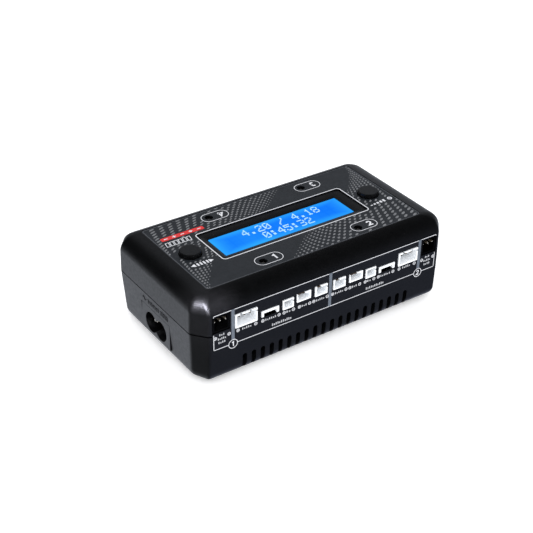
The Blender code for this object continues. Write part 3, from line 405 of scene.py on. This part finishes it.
class Marks:
    """Thin marks on one plane of the charger, in millimetres across and up that plane."""

    def __init__(self, origin, across, upward):
        self.origin = Vector(origin)
        self.across = Vector(across).normalized()
        self.upward = Vector(upward).normalized()
        self.out = self.across.cross(self.upward)
        self.verts = []
        self.faces = []

    def at(self, point, height):
        return self.origin + (self.across * point[0] + self.upward * point[1] + self.out * height) * MM

    def loop(self, points, height):
        start = len(self.verts)
        self.verts += [self.at(point, height) for point in points]
        return list(range(start, start + len(points)))

    def fill(self, points, height=INK):
        """A filled outline, given anticlockwise, with upright edges down to the plane."""
        top = self.loop(points, height)
        foot = self.loop(points, SUNK)
        self.faces.append(top)
        self.skirt(top, foot)

    def skirt(self, top, foot):
        """Upright faces between a top outline and its foot."""
        count = len(top)
        for k in range(count):
            n = (k + 1) % count
            self.faces.append([foot[k], foot[n], top[n], top[k]])

    def ring(self, outer, inner, height=INK):
        """The area between two outlines that have the same number of points."""
        tops = self.loop(outer, height), self.loop(inner, height)
        feet = self.loop(outer, SUNK), self.loop(inner, SUNK)
        count = len(outer)
        for k in range(count):
            n = (k + 1) % count
            self.faces.append([tops[0][k], tops[0][n], tops[1][n], tops[1][k]])
        self.skirt(tops[0], feet[0])
        self.skirt(tops[1][::-1], feet[1][::-1])

    def stroke(self, points, width=LINE, closed=False, height=INK):
        """A line of even width along points, with mitred turns."""
        count = len(points)
        left, right = [], []
        for k, point in enumerate(points):
            before = points[k - 1] if closed or k else None
            after = points[(k + 1) % count] if closed or k < count - 1 else None
            here = Vector(point)
            arriving = (here - Vector(before)).normalized() if before else None
            leaving = (Vector(after) - here).normalized() if after else None
            arriving = arriving or leaving
            leaving = leaving or arriving
            middle = (arriving + leaving).normalized()
            reach = width / 2 / max(middle.dot(leaving), 0.3)
            side = Vector((-middle.y, middle.x)) * reach
            left.append(tuple(here + side))
            right.append(tuple(here - side))
        if closed:
            self.ring(right, left, height)
        else:
            self.fill(right + left[::-1], height)

    def hoop(self, centre, radius, width=LINE, count=40):
        """A round line of even width."""
        self.ring(circle(centre, radius + width / 2, count), circle(centre, radius - width / 2, count))

    def make(self, name, material):
        mesh_piece(name, [tuple(vert) for vert in self.verts], self.faces, material)


def numeral(digit):
    """Strokes of a numeral, two units high about its middle."""
    if digit == 1:
        return [[(-0.42, 0.52), (0.12, 0.9), (0.12, -1.0)]]
    if digit == 2:
        top = circle((0, 0.4), 0.52, 9, math.radians(165), math.radians(-38))
        return [top + [(-0.55, -0.86), (0.66, -0.86)]]
    if digit == 3:
        top = circle((-0.02, 0.44), 0.45, 8, math.radians(145), math.radians(-82))
        bottom = circle((-0.02, -0.44), 0.5, 9, math.radians(82), math.radians(-148))
        return [top, bottom]
    return [[(0.36, -1.0), (0.36, 1.0), (-0.72, -0.5), (0.82, -0.5)]]


def draw_numeral(marks, digit, centre, half_height, width, turned=False):
    """Draw a numeral about its centre, turned by half a turn if it reads from behind."""
    sign = -1 if turned else 1
    for line in numeral(digit):
        points = [(centre[0] + sign * x * half_height, centre[1] + sign * y * half_height) for x, y in line]
        marks.stroke(points, width)


# ---------------------------------------------------------------- top label

# Areas of the top label in mm: left, right, front and back
WINDOW = (-36.0, 36.95, -11.15, 11.3)  # printed line around the display recess
LEFT_MARKS = (-49.6, -39.2, -9.8, -7.3)
RIGHT_MARKS = (39.3, 51.3, -9.4, -6.8)
RED_BAR = (-49.6, -29.6, 13.6, 16.0)
GAUGE = (-49.9, -37.0, 9.0, 11.9)
# Channel number and middle of the round-ended outline around it and its lamp
PILLS = ((1, -20.75, -20.0), (2, 26.75, -20.0), (3, 26.75, 20.0), (4, -20.75, 20.0))
PILL_HALF_X = 6.2
PILL_HALF_Y = 3.1
NUMBER_SHIFT = 2.95  # of a number from the middle of its outline
NUMBER_HALF = 1.55  # half of its height
RIM_INSET = 0.22  # of the painted rim highlight's middle from the edge of the label
BUTTON_X = (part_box("right_button_cap")[0][0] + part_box("right_button_cap")[1][0]) / 2 / MM
BUTTON_CLEAR = 4.9  # no dashes this close to a button's axis
DASH_AREA = (52.3, 25.2)  # dashes stand this far out at most
DASH_CUT = (52.4, 25.3)  # and are cut off here


def inside_box(x, y, box, margin):
    """Whether a point lies in a box or within a margin around it."""
    return box[0] - margin < x < box[1] + margin and box[2] - margin < y < box[3] + margin


def label_is_free(x, y, size):
    """Whether a dash may stand here: clear of the display, buttons, numbers and other marks."""
    margin = 0.25 + size * 0.3
    if abs(x) > DASH_AREA[0] or abs(y) > DASH_AREA[1]:
        return False
    if inside_box(x, y, WINDOW, margin):
        return False
    if any(math.hypot(x - side * BUTTON_X, y) < BUTTON_CLEAR + margin for side in (-1, 1)):
        return False
    for box in (LEFT_MARKS, RIGHT_MARKS, RED_BAR, GAUGE):
        if inside_box(x, y, box, margin * 0.5):
            return False
    for _, pill_x, pill_y in PILLS:
        gap_x = max(abs(x - pill_x) - PILL_HALF_X + PILL_HALF_Y, 0.0)
        if math.hypot(gap_x, y - pill_y) < PILL_HALF_Y + margin:
            return False
    return True


# Half of the label (1 right, -1 left turned by half a turn), bend of its edge column, column spacing
# and its growth, row pitch and its growth, and how fast the dashes lie down, by the depth from the tip
FANS = (
    (1, 0.00285, 0.7, 0.075, 1.55, 0.02, 0.66),
    (-1, 0.0036, 1.1, 0.068, 1.72, 0.004, 0.88),
)
FAN_TIP = (52.2, 24.04)  # where a fan's edge column starts
FAN_COLUMNS = 21
FAN_DEPTH = 50
NARROW_DEPTH = 17  # the fan widens slowly down to here, and faster below


def columns_at(depth):
    """How many columns wide a fan is at a depth."""
    if depth < NARROW_DEPTH:
        return 2 + 0.37 * depth
    return min(8.3 + 0.56 * (depth - NARROW_DEPTH), FAN_COLUMNS - 0.5)


def dash_outline(x, y, half_length, half_width, lean):
    """A slanted oval, cut off at the edge of the label."""
    outline = []
    for a, b in circle((0, 0), 1.0, 10):
        a *= half_length
        b *= half_width
        mark = (x + a * math.cos(lean) - b * math.sin(lean), y + a * math.sin(lean) + b * math.cos(lean))
        outline.append(tuple(max(-cut, min(cut, value)) for value, cut in zip(mark, DASH_CUT)))
    return outline


def dash_field(marks):
    """Slanted dashes in fanning columns that grow away from one corner, on both halves of the label."""
    for turn, bend, spacing, spread, pitch, growth, fall in FANS:
        for column in range(FAN_COLUMNS):
            depth = -0.6
            while depth < FAN_DEPTH:
                limit = columns_at(depth)
                step = (pitch + growth * depth) * (1 - 0.018 * column)
                x = FAN_TIP[0] + 0.1 * depth - bend * depth * depth
                x -= column * (spacing + spread * depth) * (1 - 0.0145 * column)
                y = FAN_TIP[1] - depth
                fade = min(1.0, (limit - column) / 4 + 0.5)
                grown = (1 - column / FAN_COLUMNS) * (max(depth, 0) / FAN_DEPTH) ** 0.8
                size = (0.85 + 2.0 * grown) * fade
                if column <= limit and label_is_free(turn * x, turn * y, size):
                    lean = math.radians(60 - fall * depth)
                    marks.fill(dash_outline(turn * x, turn * y, size / 2, step * 0.24 * fade, lean), THIN_INK)
                depth += step


def arrow(marks, tip, back, half):
    """A filled triangle that points along X from back to tip; both are (x, y)."""
    points = [(back[0], back[1] - half), tip, (back[0], back[1] + half)]
    marks.fill(points if tip[0] > back[0] else points[::-1])


def battery_gauge(marks):
    """A row of slanted cells."""
    left, right, low, high = GAUGE
    cells, slant = 6, 0.5
    step = (right - left - 2 * slant) / cells
    width = step * 0.72
    for k in range(cells):
        start = left + k * step
        foot = [(start, low), (start + width, low)]
        marks.stroke(foot + [(start + width + slant, high), (start + slant, high)], 0.28, True)


def button_marks(marks):
    """A double arrow by the left button, rising bars and a ringed dot by the right one."""
    left, right, low, high = LEFT_MARKS
    middle = (low + high) / 2
    arrow(marks, (left, middle), (left + 2.0, middle), 1.1)
    for k in range(4):
        start = left + 2.8 + k * 1.45
        marks.fill(box_outline(start, start + 0.75, middle - 1.0, middle + 1.0))
    arrow(marks, (right, middle), (right - 2.0, middle), 1.1)
    left, right, low, high = RIGHT_MARKS
    middle = (low + high) / 2
    for k in range(5):
        start = left + k * 1.75
        marks.fill(box_outline(start, start + 1.0, middle - 1.05, middle - 0.45 + 0.3 * k))
    ring_middle = (right - 1.2, middle)
    marks.hoop(ring_middle, 0.85, 0.5)
    marks.fill(circle(ring_middle, 0.25, 12))


def bar_signs(marks):
    """Minus and plus signs by turns along the red bar."""
    left, _, low, high = RED_BAR
    middle = (low + high) / 2
    for k in range(5):
        x = left + 2.2 + k * 3.9
        marks.fill(box_outline(x - 0.85, x + 0.85, middle - 0.22, middle + 0.22), OVERPRINT)
        if k % 2:
            marks.fill(box_outline(x - 0.22, x + 0.22, middle - 0.75, middle + 0.75), OVERPRINT * 1.1)


def top_marks():
    """Everything printed on the top label and a painted highlight round its edge, one piece for each kind of
    mark.
    """
    plane = ((0, 0, LABEL_Z), (1, 0, 0), (0, 1, 0))
    dashes = Marks(*plane)
    dash_field(dashes)
    dashes.make("top_label_dashes", DASH_INK)

    # Painted highlight along the edge of the label, all the way round
    rim = Marks(*plane)
    half_x, half_y = (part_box("top_label")[1][k] / MM - RIM_INSET for k in (0, 1))
    rim.stroke(rounded((-half_x, -half_y), (half_x, half_y), 1.2), 0.36, True)
    rim.make("top_label_rim", RIM_HIGHLIGHT_PAINT)

    lines = Marks(*plane)
    lines.stroke(rounded((WINDOW[0], WINDOW[2]), (WINDOW[1], WINDOW[3]), 1.6), 0.42, True)
    for _, x, y in PILLS:
        corners = (x - PILL_HALF_X, y - PILL_HALF_Y), (x + PILL_HALF_X, y + PILL_HALF_Y)
        lines.stroke(rounded(*corners, PILL_HALF_Y - 0.01, 14), 0.27, True)
    lines.make("top_label_lines", WHITE_INK)

    numbers = Marks(*plane)
    for digit, x, y in PILLS:
        width = 0.6 if digit == 4 else 0.75  # a thinner line keeps the 4 open
        draw_numeral(numbers, digit, (x + NUMBER_SHIFT, y), NUMBER_HALF, width, y > 0)
    numbers.make("top_label_numbers", WHITE_INK)

    beside_buttons = Marks(*plane)
    button_marks(beside_buttons)
    beside_buttons.make("top_label_button_marks", WHITE_INK)

    red_bar = Marks(*plane)
    left, right, low, high = RED_BAR
    red_bar.fill(rounded((left, low), (right, high), 0.5))
    red_bar.make("top_label_red_bar", RED_INK)
    signs = Marks(*plane)
    bar_signs(signs)
    signs.make("top_label_red_bar_signs", WHITE_INK)

    gauge = Marks(*plane)
    battery_gauge(gauge)
    gauge.make("top_label_charge_bars", WHITE_INK)


top_marks()


# ---------------------------------------------------------------- front and rear labels

# Millimetres from the middle of the label, and heights below the top label
FRAME_X = 55.15
FRAME_TOP = -7.0
FRAME_BOTTOM = -22.8
BAND_X = 46.4  # grey upright bands
BAND_HALF = 0.72
CIRCLE_Z = -22.9
CIRCLE_RADIUS = 2.0
SIGN_Z = -17.45
PACK_X = 51.3  # middle of the pack socket's captions
PACK_SIGN = 3.1
PACK_CAPTIONS = ((1.3, -16.5), (2.0, -18.25), (1.75, -20.0))  # half width and height
LOW_CAPTION = (18.6, 28.2, -21.05)  # from, to and height
PACK_GAP = (-15.7, -7.6)  # the pack socket interrupts the outer line between these heights
# Under each white socket of the right-hand channel: sign, caption from, caption to, sign
CAPTIONS = (
    (1.35, 2.5, 7.0, 8.1),
    (10.1, 11.2, 14.0, 15.1),
    (18.0, 19.0, 21.4, 22.5),
    (24.9, 26.0, 31.4, 32.6),
    (35.9, 37.6, 42.2, 44.1),
)


def polarity(marks, x, z, plus):
    """A small circled plus or minus sign."""
    marks.hoop((x, z), 0.62, 0.26, 20)
    marks.fill(box_outline(x - 0.34, x + 0.34, z - 0.11, z + 0.11), INK)
    if plus:
        marks.fill(box_outline(x - 0.11, x + 0.11, z - 0.34, z + 0.34), INK * 1.2)


def caption(marks, left, right, z, height=0.9):
    """A row of plain upright bars that stands for a small caption."""
    count = max(int((right - left) / 0.8), 2)
    step = (right - left) / count
    for k in range(count):
        start = left + k * step
        short = 0.3 if k % 3 == 1 else 0.0
        marks.fill(box_outline(start, start + step * 0.52, z - height / 2, z + height / 2 - short))


def side_marks(name, facing, left_digit, right_digit):
    """Frame lines, channel numbers, polarity signs and caption bars of the front (-1) or rear (1) label."""
    if facing < 0:
        plane = ((0, FRONT_Y, LABEL_Z), (1, 0, 0), (0, 0, 1))
    else:
        plane = ((0, REAR_Y, LABEL_Z), (-1, 0, 0), (0, 0, 1))
    half = LINE / 2
    gap = CIRCLE_RADIUS + 0.15
    lines = Marks(*plane)
    for side in (-1, 1):
        spans = ((BAND_HALF + half, BAND_X - BAND_HALF), (BAND_X + BAND_HALF, FRAME_X + half))
        for near, far in spans:
            ends = sorted((side * near, side * far))
            lines.fill(box_outline(*ends, FRAME_TOP - half, FRAME_TOP + half))
        for near, far in ((half, BAND_X - gap), (BAND_X + gap, FRAME_X + half)):
            ends = sorted((side * near, side * far))
            lines.fill(box_outline(*ends, FRAME_BOTTOM - half, FRAME_BOTTOM + half))
        ends = sorted((side * (FRAME_X - half), side * (FRAME_X + half)))
        lines.fill(box_outline(*ends, PACK_GAP[1], FRAME_TOP + half))
        lines.fill(box_outline(*ends, FRAME_BOTTOM - half, PACK_GAP[0]))
        lines.hoop((side * BAND_X, CIRCLE_Z), CIRCLE_RADIUS, LINE)
    lines.make(f"{name}_lines", WHITE_INK)

    bands = Marks(*plane)
    circle_top = CIRCLE_Z + CIRCLE_RADIUS
    for x, bottom in ((-BAND_X, circle_top), (0, FRAME_BOTTOM), (BAND_X, circle_top)):
        bands.fill(box_outline(x - BAND_HALF, x + BAND_HALF, bottom, FRAME_TOP + half), INK * 0.8)
    bands.make(f"{name}_dividers", BAND_INK)

    numbers = Marks(*plane)
    draw_numeral(numbers, left_digit, (-BAND_X, CIRCLE_Z), 1.1, 0.45)
    draw_numeral(numbers, right_digit, (BAND_X, CIRCLE_Z), 1.1, 0.45)
    numbers.make(f"{name}_numbers", WHITE_INK)

    signs = Marks(*plane)
    bars = Marks(*plane)
    for side in (-1, 1):
        for first, start, end, last in CAPTIONS:
            points = sorted((side * first, side * last))
            polarity(signs, points[0], SIGN_Z, True)
            polarity(signs, points[1], SIGN_Z, False)
            caption(bars, *sorted((side * start, side * end)), SIGN_Z)
        middle = side * PACK_X
        polarity(signs, middle - PACK_SIGN, SIGN_Z, side < 0)
        polarity(signs, middle + PACK_SIGN, SIGN_Z, side > 0)
        for half_width, z in PACK_CAPTIONS:
            caption(bars, middle - half_width, middle + half_width, z)
        near, far, z = LOW_CAPTION
        caption(bars, *sorted((side * near, side * far)), z, 1.1)
    signs.make(f"{name}_signs", WHITE_INK)
    bars.make(f"{name}_captions", DIM_INK)


side_marks("front_label", -1, 1, 2)
side_marks("rear_label", 1, 3, 4)


# ---------------------------------------------------------------- raised marks above the mains inlet

END_X = -61.89 * MM  # the left end at the marks' height
END_LEAN = 0.065  # the end leans out towards the parting line by this share of the height
RAISE = 0.16  # how far the marks stand out, mm


def end_marks():
    """A mains wave and plain bars moulded on the left end, between the parting line and the inlet."""
    marks = Marks((END_X, 0, LABEL_Z - 19.4 * MM), (0, -1, 0), (-END_LEAN, 0, 1))
    wave = [(-9.6 + k * 0.28, 0.75 * math.sin(k * math.pi / 5)) for k in range(11)]
    marks.stroke(wave, 0.42, height=RAISE)
    for k in range(7):
        left = -5.4 + k * 1.3
        marks.fill(box_outline(left, left + 0.75, -0.9, 0.9 - 0.35 * (k % 2)), RAISE)
    for k in range(3):
        left = 5.0 + k * 1.9
        marks.stroke(box_outline(left, left + 1.2, -0.85, 0.85), 0.36, True, RAISE)
    marks.make("left_end_raised_marks", RAISED)


end_marks()


# ---------------------------------------------------------------- display digits

DOT_GLYPHS = {
    "0": "01110 10001 10011 10101 11001 10001 01110",
    "1": "00100 01100 00100 00100 00100 00100 01110",
    "2": "01110 10001 00001 00110 01000 10000 11111",
    "3": "11110 00001 00001 01110 00001 00001 11110",
    "4": "00010 00110 01010 10010 11111 00010 00010",
    "5": "11111 10000 11110 00001 00001 10001 01110",
    "8": "01110 10001 10001 01110 10001 10001 01110",
    ".": "00000 00000 00000 00000 00000 01100 01100",
    ":": "00000 01100 01100 00000 01100 01100 00000",
    "/": "00001 00001 00010 00100 01000 10000 10000",
}
# Text of each row, its middle across and up the display in mm
DISPLAY_ROWS = (("4.20 / 4.18", 1.3, 2.95), ("0:45:32", 1.15, -2.95))
CELL_MARGIN = 0.3
DOT = (0.56, 0.64)
DOT_PITCH = (0.6, 0.7)


def display_digits():
    """Characters of square dots, seven rows high and five wide."""
    marks = Marks((0, SCREEN_Y, SCREEN_Z), (1, 0, 0), (0, 1, 0))
    for text, centre, middle in DISPLAY_ROWS:
        for place, character in enumerate(text):
            if character == " ":
                continue
            left = centre + (place - len(text) / 2) * CELL_X + CELL_MARGIN
            for line, bits in enumerate(DOT_GLYPHS[character].split()):
                for column, bit in enumerate(bits):
                    if bit == "1":
                        x = left + column * DOT_PITCH[0]
                        y = middle + (3 - line) * DOT_PITCH[1]
                        marks.fill(box_outline(x, x + DOT[0], y, y + DOT[1]), THIN_INK)
    marks.make("display_digits", DIGITS_LIT)


display_digits()


# ---------------------------------------------------------------- contacts in the sockets

# Pitch, height above the socket's middle, distance behind the mouth in mm, and number
CONTACTS = {
    "pack_socket": (2.5, 0.8, 0.8, 3),
    "balance_socket": (2.5, 1.0, 1.3, 3),
    "latch_socket": (1.5, 0.4, 1.6, 2),
}
CONTACT_HALF = 0.34 * MM
CONTACT_END = 8.4 * MM  # behind the mouth
TIP_HALF = CONTACT_HALF * 0.8
# Where the spring contacts start and end across the socket, and their thickness, in mm
SPRINGS = (("open_socket", 0.85, 4.3, 0.4), ("small_socket", 1.0, 2.8, 0.7))
SPRING_GAP = 0.15
TAPER_LENGTH = 0.45 * MM
INSERT_WALL = 1.11 * MM  # what the slim insert leaves of its socket's walls


def add_bar(verts, faces, low, high, turn, taper=0.12):
    """A bar with a tapered front end, from low to high corner; turn is -1 for the rear sockets."""
    start = len(verts)
    sections = ((low[1], taper), (low[1] + TAPER_LENGTH, 0.0), (high[1], 0.0))
    for y, inset in sections:
        cut = inset * MM
        for x, z in ((low[0] + cut, low[2] + cut), (high[0] - cut, low[2] + cut),
                     (high[0] - cut, high[2] - cut), (low[0] + cut, high[2] - cut)):
            verts.append((turn * x, turn * y, z))
    for ring in range(2):
        for k in range(4):
            n = (k + 1) % 4
            a = start + ring * 4
            faces.append((a + k, a + n, a + 4 + n, a + 4 + k))
    faces.append((start + 3, start + 2, start + 1, start))
    faces.append(tuple(start + 8 + k for k in range(4)))


def front_box(node):
    """A socket's box in the front channels' frame: rear channels are the front ones turned by half a turn."""
    low, high = (Vector(corner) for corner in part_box(node))
    turn = 1 if low.y < 0 else -1
    if turn < 0:
        low, high = Vector((-high.x, -high.y, low.z)), Vector((-low.x, -low.y, high.z))
    return low, high, turn


def row_contacts(number):
    """Rows of square contacts darkened with painted shade, and the bright tips of those in the pack socket.
    """
    tips, tip_faces = [], []
    for name, (pitch, rise, setback, count) in CONTACTS.items():
        verts, faces = [], []
        low, high, turn = front_box(f"channel_{number}_{name}")
        middle = (low + high) / 2
        front = low.y + setback * MM
        z = middle.z + rise * MM
        for k in range(count):
            x = middle.x + (k - (count - 1) / 2) * pitch * MM
            if name == "pack_socket":
                tip_low = (x - TIP_HALF, front - 0.2 * MM, z - TIP_HALF)
                add_bar(tips, tip_faces, tip_low, (x + TIP_HALF, front + 0.6 * MM, z + TIP_HALF), turn)
            end = (x + CONTACT_HALF, low.y + CONTACT_END, z + CONTACT_HALF)
            add_bar(verts, faces, (x - CONTACT_HALF, front, z - CONTACT_HALF), end, turn)
        mesh_piece(f"channel_{number}_{name}_contacts", verts, faces, SHADED_CONTACT)
    mesh_piece(f"channel_{number}_pack_socket_tips", tips, tip_faces, LOOKS["pin_metal"])


def spring_contacts(number):
    """Two flat springs under the roof of each small socket without a row of contacts, in bronze darkened with
    painted shade.
    """
    verts, faces = [], []
    for name, left, right, thickness in SPRINGS:
        low, high, turn = front_box(f"channel_{number}_{name}")
        middle = (left + right) / 2
        for start, end in ((left, middle - SPRING_GAP), (middle + SPRING_GAP, right)):
            corner = (low.x + start * MM, low.y + 0.5 * MM, high.z - (0.4 + thickness) * MM)
            add_bar(verts, faces, corner, (low.x + end * MM, low.y + 6.8 * MM, high.z - 0.4 * MM), turn)
    mesh_piece(f"channel_{number}_spring_contacts", verts, faces, SHADED_BRONZE)


def slim_insert(number):
    """The black tongue that fills most of the slim socket."""
    low, high, turn = front_box(f"channel_{number}_slim_socket")
    verts, faces = [], []
    corner = (low.x + INSERT_WALL, low.y + 1.4 * MM, low.z + 0.1 * MM)
    end = (high.x - INSERT_WALL, low.y + 6.9 * MM, high.z - INSERT_WALL)
    add_bar(verts, faces, corner, end, turn, 0.02)
    mesh_piece(f"channel_{number}_slim_insert", verts, faces, LOOKS["satin_plastic"])


for channel in range(1, 5):
    row_contacts(channel)
    spring_contacts(channel)
    slim_insert(channel)


# ---------------------------------------------------------------- camera

FOCAL = 1200.5328 / 533  # focal length in image widths
SENSOR = 36  # mm
# Azimuth, elevation and roll of the view, in degrees
AZ, EL, ROLL = map(math.radians, (34.64133534, 32.49999889, 0.76698403))
back = Vector((-math.sin(AZ) * math.cos(EL), -math.cos(AZ) * math.cos(EL), math.sin(EL)))
ahead = -back
right_hand = ahead.cross(Vector((0, 0, 1))).normalized()
overhead = right_hand.cross(ahead)
x_axis = right_hand * math.cos(ROLL) + overhead * math.sin(ROLL)
y_axis = overhead * math.cos(ROLL) - right_hand * math.sin(ROLL)
pivot = Vector((0, 0, 0.0229))
offset = Vector((6.63408, 3.92057, -506.05365)) * MM  # of the pivot, in the camera's own axes
location = pivot - (x_axis * offset.x + y_axis * offset.y + back * offset.z)
camera_data = bpy.data.cameras.new("camera")
camera_data.sensor_width = SENSOR
camera_data.lens = FOCAL * SENSOR
camera = bpy.data.objects.new("camera", camera_data)
bpy.context.scene.collection.objects.link(camera)
camera.matrix_world = Matrix.Translation(location) @ Matrix((x_axis, y_axis, back)).transposed().to_4x4()
bpy.context.scene.camera = camera


# ---------------------------------------------------------------- floor and light

# Direction, where the soft edge starts and ends (cosines), and brightness of what gloss sees there
GLOSS_CARDS = (
    ((-0.42, 0.66, -0.63), 0.82, 0.995, 1.04),
    ((0.48, -0.69, -0.54), 0.35, 0.95, 0.23),
    ((-0.73, -0.40, -0.54), 0.6, 0.95, 0.14),
    ((0.48, 0.69, 0.54), 0.75, 0.99, 0.26),
    ((0.62, 0.69, -0.4), 0.7, 0.97, 0.75),
    ((0.35, 0.4, -0.85), 0.7, 0.98, 0.35),
)
GLOSS_BASE = 0.006  # brightness of the rest of what gloss sees
DIFFUSE_LIGHT = (1.24, 1.245, 1.27)


def floor():
    """A pale floor, three metres to every side, which gloss doesn't see."""
    mesh = bpy.data.meshes.new("floor")
    mesh.from_pydata([(-3, -3, 0), (3, -3, 0), (3, 3, 0), (-3, 3, 0)], [], [(0, 1, 2, 3)])
    pale, paler = (0.93, 0.93, 0.93), (0.95, 0.95, 0.95)
    mesh.materials.append(surface("pale_floor", pale, paler, (0.7, 0.8), 20, 200, 0.0))
    shader = mesh.materials[0].node_tree.nodes["Principled BSDF"]
    shader.inputs["Emission Color"].default_value = (1, 1, 1, 1)
    shader.inputs["Emission Strength"].default_value = 0.25
    made = bpy.data.objects.new("floor", mesh)
    bpy.context.scene.collection.objects.link(made)
    made.visible_glossy = False


def world():
    """White for the eye and for diffuse light; gloss sees a soft studio, bright low behind the left end."""
    made = bpy.data.worlds.new("studio")
    made.use_nodes = True
    nodes = Nodes(made.node_tree)
    where = nodes.add("ShaderNodeTexCoord").outputs["Generated"]

    def towards(direction, low, high, strength):
        dot = nodes.add("ShaderNodeVectorMath", operation="DOT_PRODUCT")
        nodes.put(dot.inputs[0], where)
        dot.inputs[1].default_value = Vector(direction).normalized()
        return nodes.spread(dot.outputs["Value"], low, high, 0.0, strength, "SMOOTHSTEP")

    total = GLOSS_BASE
    for card in GLOSS_CARDS:
        total = nodes.math("ADD", towards(*card), total)
    tint = nodes.mix(towards((0.5, -0.7, -0.5), 0.2, 0.9, 1.0), (0.95, 1.0, 1.1), (0.84, 0.94, 1.28))
    scaled = nodes.add("ShaderNodeVectorMath", operation="SCALE")
    nodes.put(scaled.inputs[0], tint)
    nodes.put(scaled.inputs["Scale"], total)
    path = nodes.add("ShaderNodeLightPath")
    colour = nodes.mix(path.outputs["Is Camera Ray"], DIFFUSE_LIGHT, (1.0, 1.0, 1.0))
    colour = nodes.mix(path.outputs["Is Glossy Ray"], colour, scaled.outputs[0])
    background = made.node_tree.nodes["Background"]
    nodes.put(background.inputs["Color"], colour)
    background.inputs["Strength"].default_value = 1.0
    bpy.context.scene.world = made


# Narrow lamps that only gloss shows, for the highlight on the front left corner: place and power in W
GLINTS = (((-0.38, -0.335, 0.438), 330.0), ((-0.175, -0.482, 0.414), 82.5))
GLINT_TARGET = (-0.0583, -0.0317, 0.035)
GLINT_CONE = math.radians(1.25)
KEY_PLACE = (-0.45, -0.75, 0.75)
KEY_TARGET = (0, 0, 0.02)


def lamp(kind, name, place, target, power):
    """A lamp that shines from place to target."""
    light = bpy.data.lights.new(name, kind)
    light.energy = power
    made = bpy.data.objects.new(name, light)
    bpy.context.scene.collection.objects.link(made)
    made.location = place
    made.rotation_euler = (Vector(target) - Vector(place)).to_track_quat("-Z", "Y").to_euler()
    made.visible_camera = False
    return made, light


def key_lamp():
    """A large soft lamp that gloss doesn't see."""
    made, light = lamp("AREA", "key", KEY_PLACE, KEY_TARGET, 3.5)
    light.shape = "DISK"
    light.size = 0.7
    made.visible_glossy = False


def glint_lamps():
    """Two narrow lamps whose light falls on the front left corner only."""
    for number, (place, power) in enumerate(GLINTS, 1):
        made, light = lamp("SPOT", f"corner_glint_{number}", place, GLINT_TARGET, power)
        light.shadow_soft_size = 0.012
        light.spot_size = GLINT_CONE
        light.spot_blend = 0.9
        light.color = (0.86, 0.86, 1.0)
        made.visible_diffuse = False


floor()
world()
key_lamp()
glint_lamps()
bpy.context.scene.view_settings.view_transform = "Standard"
bpy.context.scene.view_settings.look = "None"
